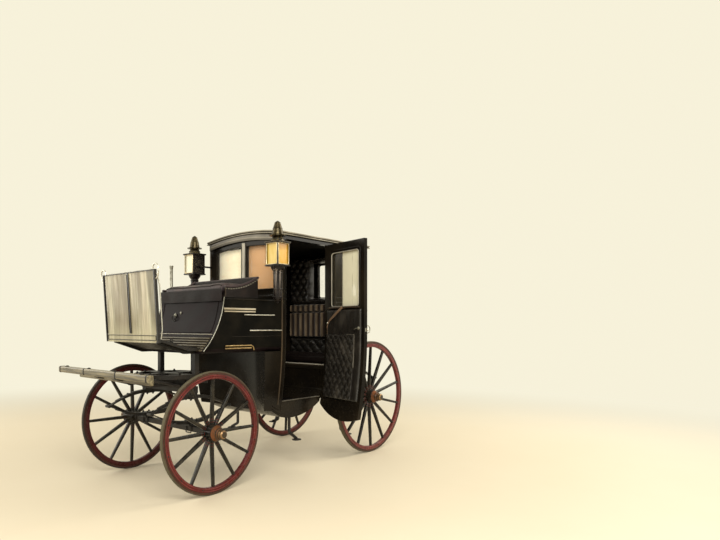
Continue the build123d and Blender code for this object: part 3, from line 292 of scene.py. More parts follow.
def pane(name, tint, see_through, rough=0.04):
    """Old glass: faint ripples and a film of dust in patches."""
    glass = Finish(name, Specular_IOR_Level=0.7)
    film = glass.noise(14.0, 5.0).ramp(0.45, 0.85)
    glass.set(Base_Color=glass.mix(film * 0.4, tint, rgb(0.85, 0.82, 0.72)))
    glass.set(Alpha=see_through + film * 0.05, Roughness=rough + film * 0.12)
    return glass.relief(glass.noise(9.0, 1.0), 0.0002)


def reflection_painted_pane(name):
    """The open door's pane: a pale painted reflection over its free side, and painted olive shade by its hinge."""
    glass = Finish(name, Specular_IOR_Level=0.5)
    film = glass.noise(14.0, 5.0).ramp(0.45, 0.85)
    away = ((glass.x - HINGE.x) * (glass.x - HINGE.x) + (glass.y - HINGE.y) * (glass.y - HINGE.y)) ** 0.5
    # Painted reflection: pale cream and less see-through away from the hinge; painted shade: dark olive near it.
    painted_reflection = away.ramp(0.262, 0.288)
    streak = (abs(away - 0.425) < 0.006) * glass.noise(5.0, 2.0, (0.2, 0.2, 1)).ramp(0.4, 0.6)
    colour = glass.mix(painted_reflection, rgb(0.05, 0.042, 0.022), rgb(0.93, 0.9, 0.7))
    glass.set(Base_Color=glass.mix(streak * 0.5 + film * 0.12, colour, rgb(0.42, 0.38, 0.22)))
    glass.set(Alpha=painted_reflection * 0.56 + 0.3, Roughness=0.05 + film * 0.1)
    return glass


def glow_painted_glass(name, tint, side_tint, glow, strength):
    """A lantern's glass with a painted glow held in it, in its colour and as emission, though no lamp burns inside:
    deeper on its outer side and smoked at its top there.
    """
    glass = Finish(name, Specular_IOR_Level=0.3, Emission_Strength=strength)
    flow = glass.noise(11.0, 3.0, (1, 1, 0.35))
    rise = glass.z.ramp(1.92, 2.116)
    outer = abs(glass.x) > LAMP_AT.x + 0.0645
    smoke = outer * (rise + flow * 0.5).ramp(0.92, 1.25)
    body = glass.mix(outer, tint, side_tint)
    # Painted glow: patches of the glow colour, and the whole colour given out as emission.
    body = glass.mix(flow.ramp(0.4, 0.75) * (0.6 - outer * 0.42), body, glow)
    body = glass.mix(smoke * 0.7, body, rgb(0.3, 0.13, 0.012))
    glass.set(Base_Color=body, Emission_Color=body, Roughness=0.08 + flow * 0.1)
    return glass.relief(glass.noise(26.0, 2.0, (1, 1, 0.3)), 0.0008)


def reflection_painted_leather(name, band_only=False):
    """Patent leather of the dash: pale with painted reflection, with upright streaks of painted reflected light and
    stain, black at its margins.
    """
    skin = Finish(name, Coat_Weight=0.2, Coat_Roughness=0.12, Specular_IOR_Level=0.3)
    broad = skin.noise(9.0, 3.0, (1, 0.2, 0.07)).ramp(0.38, 0.6)
    fine = skin.noise(52.0, 4.0, (1, 0.2, 0.05)).ramp(0.35, 0.72)
    blush = skin.noise(5.0, 2.0, (1, 0.2, 0.2)).ramp(0.4, 0.65)
    foot = 1.0 - skin.z.ramp(1.26, 1.42)
    # Painted reflection: the pale base and its upright streaks stand in for light reflected in the patent leather.
    colour = skin.mix(broad, rgb(0.17, 0.15, 0.085), rgb(0.66, 0.62, 0.45))
    colour = skin.mix(blush * 0.35, colour, rgb(0.36, 0.27, 0.18))
    colour = skin.mix(fine * 0.62, colour, rgb(0.16, 0.135, 0.07))
    colour = skin.mix(foot * 0.45, colour, rgb(0.58, 0.54, 0.36))
    covered = abs(skin.x) < 0.376
    if band_only:
        covered = covered * (skin.z < 1.302)
    colour = skin.mix(covered, rgb(0.012, 0.01, 0.008), colour)
    skin.set(Base_Color=colour, Roughness=0.3 + fine * 0.25)
    return skin.relief(skin.noise(30.0, 3.0, (1, 1, 0.2)) + skin.cells(420.0) * 0.2, 0.001)


def wheel_reach(finish, piece):
    """Each point's distance from the axis of a wheel's piece, the piece's radius and the middle of its width."""
    low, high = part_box(piece)
    y = finish.y - ((low[1] + high[1]) / 2 - KINGPIN.y)
    z = finish.z - (low[2] + high[2]) / 2
    return (y * y + z * z) ** 0.5, (high[2] - low[2]) / 2, (low[0] + high[0]) / 2 - KINGPIN.x


def wheel_paint(name, corner, red, lining_highlight_pink):
    """A wheel: red felloes with pink lines, partly coach lining and partly painted highlight, black spokes, and a nave
    with a brass cap on its outer end.
    """
    paint = Finish(name, Coat_Weight=0.08, Coat_Roughness=0.16, Specular_IOR_Level=0.2)
    reach, radius, middle = wheel_reach(paint, f"{corner}_wheel")
    out = 1 if "left" in corner else -1
    along = (paint.x - (middle - out * 0.025)) * out
    on_rim = reach > radius - RIM_DEEP
    cloud = paint.noise(11.0, 5.0).ramp(0.35, 0.75)
    dirt = paint.noise(44.0, 6.0).ramp(0.5, 0.8)
    # Two pink rings on the felloe's outer face: coach lining, also standing in as painted highlight.
    lining_and_highlight = (abs(reach - (radius - 0.012)) < 0.0022) + (abs(reach - (radius - 0.031)) < 0.0022)
    lining_and_highlight = lining_and_highlight * (along > 0.012)
    rim = paint.mix(cloud * 0.8, red, rgb(0.07, 0.01, 0.01))
    worn = paint.noise(6.0, 4.0).ramp(0.3, 0.62)
    rim = paint.mix(lining_and_highlight * (worn * 0.36 + 0.05), rim, lining_highlight_pink)
    spoke = paint.mix(cloud * 0.8, rgb(0.008, 0.007, 0.006), rgb(0.035, 0.029, 0.018))
    band = abs(abs(reach - 0.1) - 0.012) < 0.002
    spoke = paint.mix(band * (reach > NAVE_R), spoke, red)
    nave = (along > 0.048) * (reach < NAVE_R)
    worn_nave = paint.mix(cloud, rgb(0.21, 0.07, 0.024), rgb(0.045, 0.03, 0.014))
    spoke = paint.mix(nave, spoke, worn_nave)
    collar = (along > 0.098) * (reach < 0.06)
    brass = paint.mix(cloud * 0.8, rgb(0.34, 0.21, 0.1), rgb(0.14, 0.08, 0.042))
    colour = paint.mix(on_rim, spoke, rim)
    colour = paint.mix(collar, colour, brass)
    colour = paint.mix(dirt * 0.22, colour, rgb(0.11, 0.08, 0.05))
    paint.set(Base_Color=colour, Metallic=collar * 0.75)
    paint.set(Roughness=0.24 + cloud * 0.12 + dirt * 0.3)
    return paint.relief(paint.noise(70.0, 4.0) + dirt * 0.3, 0.0006)


def tyre_rubber(name, corner, deep, pale, dusty):
    """A worn rubber tyre: a tread paler than its flanks, dust on both, and a red channel that holds it."""
    rubber = Finish(name, Specular_IOR_Level=0.35)
    reach, radius = wheel_reach(rubber, f"{corner}_tyre")[:2]
    tread = reach.ramp(radius - 0.006, radius)
    dust = rubber.noise(30.0, 6.0).ramp(0.4, 0.75)
    channel = reach < radius - 0.0115
    colour = rubber.mix(tread, deep, pale)
    colour = rubber.mix(dust * 0.4, colour, dusty)
    rubber.set(Base_Color=rubber.mix(channel * (0.9 - dust * 0.4), colour, rgb(0.07, 0.012, 0.01)))
    rubber.set(Roughness=0.6 + dust * 0.25)
    return rubber.relief(rubber.noise(140.0, 5.0), 0.0007)


def timber(name, deep, pale, rough=0.4, grain=(0.06, 1, 1)):
    """Varnished wood with its grain along the piece."""
    wood = Finish(name, Coat_Weight=0.25, Coat_Roughness=0.2)
    rings = wood.noise(55.0, 5.0, grain)
    pores = wood.noise(420.0, 3.0, grain).ramp(0.55, 0.75)
    colour = wood.mix(rings.ramp(0.35, 0.68), deep, pale)
    wood.set(Base_Color=wood.mix(pores * 0.4, colour, deep), Roughness=rough + pores * 0.2)
    return wood.relief(rings + pores * -0.3, 0.0005)


coach_black = lacquer("coach_black", rgb(0.006, 0.005, 0.004), rgb(0.017, 0.013, 0.008))
roof_black = lacquer("roof_black", rgb(0.012, 0.01, 0.009), rgb(0.026, 0.022, 0.018), 0.5, 0.0, 0.05)
seat_black = hide("seat_black", rgb(0.008, 0.0055, 0.005), rgb(0.022, 0.015, 0.012), shine=0.14)
# Purple-brown leather, lighter than the black of the seat's base: a painted highlight on the driver's seat.
seat_purple_painted_highlight = hide("seat_purple_painted_highlight", rgb(0.035, 0.022, 0.025), rgb(0.13, 0.092, 0.09), 0.36)
tufted_black = hide("tufted_black", rgb(0.014, 0.012, 0.01), rgb(0.06, 0.052, 0.042), 0.24, 300.0, 0.0008, 0.5)
# Pale grey buttons stand in as painted highlights: the glints on the buttoned leather.
painted_glint_grey = hide("painted_glint_grey", rgb(0.1, 0.095, 0.085), rgb(0.34, 0.32, 0.29), 0.22, 300.0, 0.0004, 0.6)
brown_cloth = cloth("brown_cloth", rgb(0.035, 0.022, 0.014), rgb(0.12, 0.085, 0.055))
# The tan blind has a faint painted glow for the daylight behind it.
tan_blind = cloth("tan_blind", rgb(0.64, 0.33, 0.12), rgb(0.82, 0.5, 0.24), 1400.0, through=0.1)
# Near-black cloth for the headlining and carpet: painted shade for the cabin's dark inside.
shade_dark_cloth = hide("shade_dark_cloth", rgb(0.006, 0.0045, 0.004), rgb(0.016, 0.012, 0.009), 0.7, 900.0, 0.0004, 0.1)
FLUTE_PITCH = 0.082
ridged_brown = fluted_cloth("ridged_brown", FLUTE_PITCH)
# The cream blind has a stronger painted glow for the daylight behind it.
cream_blind = cloth("cream_blind", rgb(0.9, 0.78, 0.52), rgb(0.97, 0.92, 0.7), 1400.0, through=0.28)
dash_leather = reflection_painted_leather("dash_leather")
dash_edge = reflection_painted_leather("dash_edge", band_only=True)
nickel = bright("nickel", rgb(0.66, 0.64, 0.57), rgb(0.34, 0.31, 0.24), 0.24)
iron_black = iron_paint("iron_black", rgb(0.009, 0.008, 0.007), rgb(0.06, 0.04, 0.022))
clear_pane = pane("clear_pane", rgb(0.9, 0.9, 0.82), 0.03)
# The open door's pane carries a painted reflection and painted shade.
door_pane = reflection_painted_pane("door_pane")
# Both lanterns' panes glow by emission, a painted glow, stronger on the right lamp.
amber_pane = glow_painted_glass("amber_pane", rgb(0.64, 0.44, 0.09), rgb(0.6, 0.33, 0.03), rgb(0.78, 0.61, 0.22), 0.06)
pale_pane = glow_painted_glass("pale_pane", rgb(0.72, 0.68, 0.5), rgb(0.6, 0.5, 0.3), rgb(0.84, 0.82, 0.66), 0.2)
dark_wood = timber("dark_wood", rgb(0.02, 0.013, 0.009), rgb(0.06, 0.04, 0.024))
pale_ash = timber("pale_ash", rgb(0.06, 0.048, 0.024), rgb(0.255, 0.215, 0.125), 0.38)
# Pale cream for the boot's side beads: painted highlights.
cream_painted_highlight = lacquer("cream_painted_highlight", rgb(0.36, 0.31, 0.22), rgb(0.55, 0.5, 0.38), 0.2, 0.3)
pale_trim = lacquer("pale_trim", rgb(0.38, 0.35, 0.28), rgb(0.56, 0.53, 0.44), 0.25, 0.2)
# Dull bronze lacquer; on the front corner bead its colour is a painted reflection of golden light.
bronze_and_painted_reflection = lacquer("bronze_and_painted_reflection", rgb(0.03, 0.019, 0.01), rgb(0.075, 0.048, 0.024), 0.24, 0.1, 0.3)
dull_nickel = bright("dull_nickel", rgb(0.34, 0.33, 0.28), rgb(0.14, 0.13, 0.1), 0.34)
fall_black = hide("fall_black", rgb(0.009, 0.0065, 0.0065), rgb(0.028, 0.02, 0.02), 0.4, shine=0.12)
# Olive-gold for the toe bands: a painted reflection on the boot's curved toe.
toe_olive_painted_reflection = lacquer("toe_olive_painted_reflection", rgb(0.1, 0.083, 0.05), rgb(0.27, 0.225, 0.145), 0.28, 0.1, 0.25)
boot_plum = boot_paint("boot_plum")
pale_brass = bright("pale_brass", rgb(0.72, 0.6, 0.36), rgb(0.36, 0.28, 0.15), 0.26)
edge_grey = lacquer("edge_grey", rgb(0.2, 0.18, 0.135), rgb(0.46, 0.42, 0.33), 0.3, 0.1)
roof_grey = lacquer("roof_grey", rgb(0.1, 0.09, 0.075), rgb(0.24, 0.22, 0.18), 0.3, 0.1)
strap_tan = hide("strap_tan", rgb(0.16, 0.1, 0.06), rgb(0.3, 0.2, 0.13))
toe_brass = bright("toe_brass", rgb(0.42, 0.3, 0.14), rgb(0.16, 0.1, 0.05), 0.34)


def lamp_metal(name):
    """A lantern: black japanned case, a tube with painted upright glints, and an old brass chimney."""
    case = Finish(name, Coat_Weight=0.1, Coat_Roughness=0.1, Specular_IOR_Level=0.2)
    top = case.z > LAMP_CASE_TOP
    cloud = case.noise(26.0, 5.0).ramp(0.35, 0.75)
    black = case.mix(cloud * 0.5, rgb(0.006, 0.004, 0.004), rgb(0.018, 0.011, 0.01))
    tube = (case.z < LAMP_TUBE_TOP) * case.z.ramp(1.6, 1.88)
    # Painted highlights: pale upright streaks on the tube stand in for glints of light.
    painted_glint = tube * case.noise(46.0, 2.0, (1, 1, 0.03)).ramp(0.58, 0.7)
    black = case.mix(painted_glint * 0.65, black, rgb(0.42, 0.36, 0.31))
    old = case.mix(cloud, rgb(0.03, 0.023, 0.011), rgb(0.1, 0.078, 0.038))
    case.set(Base_Color=case.mix(top, black, old), Metallic=top * 0.85, Roughness=0.2 + cloud * 0.2)
    return case.relief(case.noise(180.0, 3.0), 0.0003)


lantern = lamp_metal("lantern")

NODE_FINISHES = (
    (coach_black, "floor_tub front_panel back_panel cant_rail left_door right_door left_front_quarter "
                  "right_front_quarter left_rear_quarter right_rear_quarter"),
    (iron_black, "footboard rear_axle rear_springs body_irons steps upper_turntable lower_turntable futchells "
                 "front_axle front_springs"),
    (clear_pane, "window_glass right_door_glass"), (door_pane, "left_door_glass"), (roof_black, "roof"),
    (lantern, "left_lamp right_lamp"), (amber_pane, "left_lamp_glass"), (pale_pane, "right_lamp_glass"),
    (nickel, "left_door_handle right_door_handle"), (tan_blind, "front_blind"), (dark_wood, "rear_seat_base"),
    (boot_plum, "boot"), (seat_black, "driver_seat"), (dash_leather, "dash_panel"), (dash_edge, "dash_frame"),
    (pale_ash, "splinter_bar"),
)
NODE_FINISH = {node: finish for finish, nodes in NODE_FINISHES for node in nodes.split()}

# One red paint in four painted lit and shaded copies, each wheel's red set by the light on it; the left tyres are
# painted paler as lit and the right ones darker as shaded
RUBBER_PAINTED_LIT = (rgb(0.04, 0.033, 0.018), rgb(0.088, 0.074, 0.042), rgb(0.135, 0.112, 0.068))
RUBBER_PAINTED_SHADE = (rgb(0.012, 0.009, 0.007), rgb(0.024, 0.018, 0.013), rgb(0.05, 0.038, 0.026))
RUBBERS = {"front_left": RUBBER_PAINTED_LIT, "front_right": RUBBER_PAINTED_SHADE, "rear_left": RUBBER_PAINTED_LIT,
           "rear_right": RUBBER_PAINTED_SHADE}
LIT_AND_SHADED_REDS = {"front_left": rgb(0.088, 0.0068, 0.006), "front_right": rgb(0.045, 0.005, 0.006),
        "rear_left": rgb(0.15, 0.03, 0.027), "rear_right": rgb(0.1, 0.009, 0.009)}
for corner, red in LIT_AND_SHADED_REDS.items():
    NODE_FINISH[f"{corner}_wheel"] = wheel_paint(f"{corner}_wheel_paint", corner, red, rgb(0.42, 0.12, 0.11))
    NODE_FINISH[f"{corner}_tyre"] = tyre_rubber(f"{corner}_rubber", corner, *RUBBERS[corner])
for name, finish in NODE_FINISH.items():
    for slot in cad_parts[name].material_slots:
        slot.material = finish.material


# Shaping

shift = Matrix.Translation


def only(thing):
    """Select one object alone."""
    bpy.ops.object.select_all(action="DESELECT")
    thing.select_set(True)
    bpy.context.view_layer.objects.active = thing


@contextlib.contextmanager
def shaping(thing):
    """Edit one object's mesh."""
    only(thing)
    bpy.ops.object.mode_set(mode="EDIT")
    yield
    bpy.ops.object.mode_set(mode="OBJECT")


def pick(thing, wanted):
    """Select the faces whose centre and normal pass a test."""
    bpy.context.tool_settings.mesh_select_mode = (False, False, True)
    mesh = thing.data
    mesh.vertices.foreach_set("select", [False] * len(mesh.vertices))
    mesh.edges.foreach_set("select", [False] * len(mesh.edges))
    for face in mesh.polygons:
        face.select = wanted(face.center, face.normal)


def apply(thing, kind, **settings):
    """Add a modifier and apply it."""
    only(thing)
    modifier = thing.modifiers.new(kind.title(), kind)
    for key, value in settings.items():
        setattr(modifier, key, value)
    bpy.ops.object.modifier_apply(modifier=modifier.name)
    return thing


def smooth(thing, angle=35.0):
    only(thing)
    bpy.ops.object.shade_smooth_by_angle(angle=math.radians(angle))
    return thing


def standing(spot, out):
    """The turn and shift that stand a piece made on the origin on a spot, its top pointing out."""
    return shift(spot) @ Vector(out).normalized().to_track_quat("Z", "Y").to_matrix().to_4x4()


def started(kind, **settings):
    """Add a primitive alone in the selection, its place and size put into its mesh."""
    bpy.ops.object.select_all(action="DESELECT")
    getattr(bpy.ops.mesh, f"primitive_{kind}_add")(**settings)
    bpy.ops.object.transform_apply(location=True, scale=True)
    return bpy.context.object


def line_of(points):
    """A chain of edges through points, extruded from one vertex."""
    chain = started("plane", size=0.01, location=Vector(points[0]))
    bpy.context.tool_settings.mesh_select_mode = (True, False, False)
    bpy.ops.object.mode_set(mode="EDIT")
    bpy.ops.mesh.select_all(action="SELECT")
    bpy.ops.mesh.merge(type="CENTER")
    for a, b in zip(points, points[1:]):
        bpy.ops.mesh.extrude_region_move(TRANSFORM_OT_translate={"value": Vector(b) - Vector(a)})
    bpy.ops.mesh.select_all(action="SELECT")
    bpy.ops.mesh.remove_doubles(threshold=1e-5)
    bpy.ops.object.mode_set(mode="OBJECT")
    return chain


def rod(points, radius, facets=2):
    """A round bar or bead along points; it closes if its last point is its first."""
    bar = line_of(points)
    only(bar)
    bpy.ops.object.convert(target="CURVE")
    bar = bpy.context.object
    bar.data.bevel_depth = radius
    bar.data.bevel_resolution = facets
    bar.data.use_fill_caps = True
    bpy.ops.object.convert(target="MESH")
    return smooth(bpy.context.object, 60)


def turned(profile, axis="Z", steps=32, place=(0, 0, 0)):
    """A turned piece: a profile of (radius, height) spun about an axis through its place."""
    piece = line_of([(r, 0, h) for r, h in profile])
    with shaping(piece):
        bpy.ops.mesh.select_all(action="SELECT")
        bpy.ops.mesh.spin(steps=steps, angle=2 * math.pi, center=(0, 0, 0), axis=(0, 0, 1))
        bpy.ops.mesh.select_all(action="SELECT")
        bpy.ops.mesh.remove_doubles(threshold=1e-5)
        bpy.ops.mesh.normals_make_consistent(inside=False)
    piece.rotation_euler = {"Z": (0, 0, 0), "X": (0, math.pi / 2, 0), "-X": (0, -math.pi / 2, 0),
                            "Y": (-math.pi / 2, 0, 0), "-Y": (math.pi / 2, 0, 0), "-Z": (math.pi, 0, 0)}[axis]
    piece.location = place
    bpy.ops.object.transform_apply(location=True, rotation=True)
    return smooth(piece, 30)


def block(low, high, bevel=0.003, segments=2):
    """A block between two corners with eased edges."""
    low, high = Vector(low), Vector(high)
    piece = started("cube", size=1, location=(low + high) / 2, scale=high - low)
    if bevel:
        apply(piece, "BEVEL", width=bevel, segments=segments, limit_method="ANGLE")
        smooth(piece)
    return piece


def panelled(low, high, normal, border, depth, bevel=0.002):
    """A board whose face in one direction is sunk inside a border."""
    board = block(low, high, 0)
    pick(board, lambda centre, facing: facing.dot(Vector(normal)) > 0.9)
    with shaping(board):
        bpy.ops.mesh.inset(thickness=border)
        bpy.ops.mesh.extrude_region_move(TRANSFORM_OT_translate={"value": Vector(normal) * -depth})
    apply(board, "BEVEL", width=bevel, segments=2, limit_method="ANGLE")
    return smooth(board)


def hex_bolt(size, height):
    """A hexagon nut with its stud end, standing on the origin."""
    nut = started("cylinder", vertices=6, radius=size, depth=height, location=(0, 0, height / 2))
    pick(nut, lambda centre, facing: facing.z > 0.9)
    with shaping(nut):
        bpy.ops.mesh.inset(thickness=size * 0.42)
        bpy.ops.mesh.extrude_region_move(TRANSFORM_OT_translate={"value": (0, 0, height * 0.6)})
    apply(nut, "BEVEL", width=size * 0.08, segments=1, limit_method="ANGLE")
    return nut


def copied(thing, matrix):
    """A copy with its own mesh, moved by a matrix."""
    twin = thing.copy()
    twin.data = thing.data.copy()
    twin.data.transform(matrix)
    bpy.context.collection.objects.link(twin)
    return twin


def spread(thing, places, turn=None):
    """Copies of a small piece at each place, the first one removed."""
    turn = turn or Matrix.Identity(4)
    made = [copied(thing, shift(place) @ turn) for place in places]
    bpy.data.objects.remove(thing)
    return made


def gather(things):
    """Join pieces into one."""
    things = list(things)
    bpy.ops.object.select_all(action="DESELECT")
    for thing in things:
        thing.select_set(True)
    bpy.context.view_layer.objects.active = things[0]
    if len(things) > 1:
        bpy.ops.object.join()
    return things[0]


MIRROR = Matrix.Scale(-1, 4, (1, 0, 0))
SWING = shift(HINGE) @ Matrix.Rotation(DOOR_OPEN, 4, "Z") @ shift(-HINGE)


def flipped(thing):
    """A copy on the coach's other side."""
    twin = copied(thing, MIRROR)
    twin.data.flip_normals()
    return twin


def settle(thing, name, finish, body="coach"):
    """Name a piece, set it in the row's frame and give it its finish and body."""
    thing.name = name
    thing.data.name = name
    thing.data.transform(shift(KINGPIN))
    thing.data.materials.clear()
    thing.data.materials.append(finish.material)
    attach(thing, body)
    return thing


def both_sides(thing, name, finish):
    """Settle a piece of the coach's left side and its copy on the right."""
    twin = flipped(thing)
    settle(thing, f"left_{name}", finish, "coach")
    settle(twin, f"right_{name}", finish, "coach")


def on_doors(thing, name, finish):
    """Hang a piece drawn on the closed left door on both doors, the left one standing open."""
    twin = flipped(thing)
    thing.data.transform(SWING)
    return (settle(thing, f"left_door_{name}", finish, "left_door_leaf"),
            settle(twin, f"right_door_{name}", finish, "right_door_leaf"))


def rods(*runs):
    """Bars of several runs in one piece, each given as its points and radius."""
    return gather([rod(*run) for run in runs])


def ribbon(points, width, thickness=0.003):
    """A flat strap: a strip extruded along points, its width given as one vector."""
    strip = line_of(points)
    with shaping(strip):
        bpy.ops.mesh.select_all(action="SELECT")
        bpy.ops.mesh.extrude_region_move(TRANSFORM_OT_translate={"value": width})
    with shaping(strip):
        bpy.ops.mesh.select_all(action="SELECT")
        bpy.ops.mesh.normals_make_consistent(inside=False)
    apply(strip, "SOLIDIFY", thickness=thickness, offset=0)
    apply(strip, "BEVEL", width=thickness * 0.3, segments=1, limit_method="ANGLE")
    return smooth(strip, 50)


# Roof and body mouldings


def on_side(y, z, out=0.001):
    """A point just off the body's side."""
    return (side_x(z) + out, y, z)


def roof_loop(grow, drop):
    """A loop round the roof's edge, arched at the front and the back."""
    arch = roof_arch(ROOF_HALF + grow, 20)
    front = [(x, ROOF_FRONT - grow, z - drop) for x, z in arch]
    back = [(x, ROOF_BACK + grow, z - drop) for x, z in reversed(arch)]
    return front + back + front[:1]


settle(rods((roof_loop(0.002, 0.006), 0.007), (roof_loop(0.004, 0.026), 0.005)), "roof_mouldings", edge_grey)
settle(rods(*(([(x, 0.876, z - drop) for x, z in roof_arch(0.5, 16)], radius)
              for drop, radius in ((0.047, 0.004), (0.068, 0.006)))), "front_arch_beads", edge_grey)


def upright(y, low, high, out=0.0, count=14):
    """Points up the side of the body at one station."""
    return [on_side(y, low + (high - low) * i / count, out) for i in range(count + 1)]


# The corner bead is painted bronze: a painted reflection running down the front corner.
both_sides(rod(upright(0.9, 0.62, 2.222), 0.008), "corner_bead", bronze_and_painted_reflection)
both_sides(rods((upright(0.947, 0.56, 2.184, 0.001), 0.0045), (upright(1.586, 0.66, 2.184, 0.001), 0.0045)),
           "jamb_beads", coach_black)


def rocker(rise):
    """Points along the tub's lower edge, a little above it."""
    return [on_side(y, z + rise) for y, z in arc(*FLOOR_ARC, 52)]


def rocker_lines(low_y, high_y):
    """Two beads along the foot of the body between two stations."""
    return rods(*(([point for point in rocker(rise) if low_y <= point[1] <= high_y], radius)
                  for rise, radius in ((0.018, 0.006), (0.05, 0.0045))))


both_sides(rocker_lines(0.82, 0.951), "rocker_beads", coach_black)
sill_x = side_x(0.635) - 0.048
tread = block((sill_x - 0.04, 0.968, 0.6352), (sill_x, 1.562, 0.6385), 0.001, 1)
both_sides(gather([tread, rod([(sill_x, 0.966, 0.6385), (sill_x, 1.564, 0.6385)], 0.004)]), "sill_tread", roof_grey)

quarter_frames = [([on_side(y, z) for y, z in rounded(1.615, 2.19, low, high, 0.035)], 0.0055)
                  for low, high in ((1.66, 2.135), (1.1, 1.56))]
both_sides(rods(*quarter_frames, ([(0.531, 1.59, 1.61), (0.531, 2.245, 1.61)], 0.007)), "quarter_mouldings",
           coach_black)

# Boot mouldings follow its taper


def boot_x(y):
    return BOX_NARROW + (BOX_WIDE - BOX_NARROW) * y / CABIN_FRONT


def on_boot(points, radius, out=0.001):
    return rod([(boot_x(y) + out, y, z) for y, z in points], radius)


# Two cream beads on the boot's side: painted highlights along its top moulding.
both_sides(gather([on_boot([(0.235, 1.515), (0.58, 1.515)], 0.009), on_boot([(0.24, 1.492), (0.58, 1.492)], 0.006)]),
           "boot_highlight_lines", cream_painted_highlight)
both_sides(gather([on_boot([(0.455, 1.465), (0.806, 1.465)], 0.0055),
                   on_boot([(0.515, 1.325), (0.898, 1.325)], 0.006)]), "boot_bright_lines", nickel)
both_sides(gather([
    on_boot([(0.25, 1.193), (0.53, 1.193), (0.555, 1.182), (0.565, 1.15)], 0.006),
    on_boot([(0.25, 1.17), (0.535, 1.17)], 0.006),
]), "arch_bands", toe_brass)
BOOT_ARC = arc((0.24, 1.615), (0.19, 1.4), (0.03, 1.15), 16)
both_sides(on_boot(BOOT_ARC, 0.004, -0.001), "boot_edge_bead", dull_nickel)

# Cabin front: frames of the two lights, the pillar between them and the sill below
LIGHT_FOOT, LIGHT_HEAD, LIGHT_IN, LIGHT_OUT = 1.724, 2.134, 0.034, 0.425
frames = [panelled((x0, 0.8885, 1.65), (x1, 0.8995, LIGHT_FOOT), (0, -1, 0), 0.009, 0.003)
          for x0, x1 in ((-0.436, -0.018), (0.018, 0.436))]
head = arc((-LIGHT_OUT, LIGHT_HEAD), (0, LIGHT_HEAD + 0.03), (LIGHT_OUT, LIGHT_HEAD), 24)
for side in (1, -1):
    light = [(side * LIGHT_IN, LIGHT_FOOT), (side * LIGHT_OUT, LIGHT_FOOT), (side * LIGHT_OUT, LIGHT_HEAD)]
    light += [(side * x, z) for x, z in reversed(head) if LIGHT_IN < x < LIGHT_OUT]
    light += [(side * LIGHT_IN, LIGHT_HEAD + 0.0298), light[0]]
    frames.append(rod([(x, 0.898, z) for x, z in light], 0.006))
settle(gather(frames), "front_light_beads", coach_black)
settle(panelled((-0.017, 0.886, 1.64), (0.017, 0.902, 2.196), (0, -1, 0), 0.006, 0.003), "front_mullion", pale_trim)
settle(rod([(x, 2.252, z) for x, z in rounded(-0.15, 0.15, 1.7, 2.09, 0.03)], 0.007), "back_light_bead", coach_black)
settle(block((-0.5, 0.872, 1.622), (0.5, 0.902, 1.648), 0.005), "front_window_sill", coach_black)

# A cream blind drawn halfway behind the far light
BLIND_DROP, BLIND_FOLDS = 0.308, 14
blind_low, blind_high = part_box("front_blind")
blind_y = (blind_low[1] + blind_high[1]) / 2 - KINGPIN.y
blind_wide = blind_high[0] - blind_low[0]
blind_line = [(KINGPIN.x - blind_high[0], blind_y + 0.0015 * math.sin(i * 0.9), 2.15 - BLIND_DROP * i / BLIND_FOLDS)
              for i in range(BLIND_FOLDS + 1)]
far_blind = ribbon(blind_line, (blind_wide, 0, 0), 0.0015)
settle(far_blind, "far_blind", cream_blind)

# Upholstery


def clamp01(value):
    return max(0.0, min(1.0, value))


def gaps_to(u, v, spans):
    """How far a point lies inside each edge of a pad."""
    return u - spans[0][0], spans[0][1] - u, v - spans[1][0], spans[1][1] - v


def roll(*gaps, width=0.03):
    """Rounded edge of a pad: 0 at its border, 1 from `width` inside it."""
    rise = clamp01(min(gaps) / width)
    return math.sqrt(1 - (1 - rise) ** 2)


def tuft(u, v, wide, tall):
    """Diamond buttoning: 0 along the folds between the buttons, 1 on the puffs."""
    a, b = math.sin(math.pi * (u / wide + v / tall)), math.sin(math.pi * (u / wide - v / tall))
    return abs(a * b) ** 0.35


def flute(u, pitch):
    """Upright flutes: 0 in the seams, 1 along the ridges."""
    return abs(math.sin(math.pi * u / pitch)) ** 0.45


def pad(spans, step, height, place, hole=None):
    """A stuffed cover over a rectangle: height(u, v) is its rise in metres, place(u, v, rise) its point."""
    (u0, u1), (v0, v1) = spans
    cover = started("grid", x_subdivisions=round((u1 - u0) / step), y_subdivisions=round((v1 - v0) / step), size=1,
                    location=(0.5, 0.5, 0))
    cover.data.transform(shift((u0, v0, 0)) @ Matrix.Diagonal((u1 - u0, v1 - v0, 1, 1)))
    if hole:
        pick(cover, lambda centre, facing: hole[0] < centre.x < hole[1] and hole[2] < centre.y < hole[3])
        with shaping(cover):
            bpy.ops.mesh.delete(type="FACE")
    for vertex in cover.data.vertices:
        u, v = vertex.co.x, vertex.co.y
        vertex.co = place(u, v, height(u, v))
    start = Vector(place(u0, v0, 0))
    turn = (Vector(place(u0 + 0.01, v0, 0)) - start).cross(Vector(place(u0, v0 + 0.01, 0)) - start)
    if turn.dot(Vector(place(u0, v0, 0.01)) - start) < 0:
        cover.data.flip_normals()
    apply(cover, "SOLIDIFY", thickness=0.003, offset=-1)
    return smooth(cover, 80)


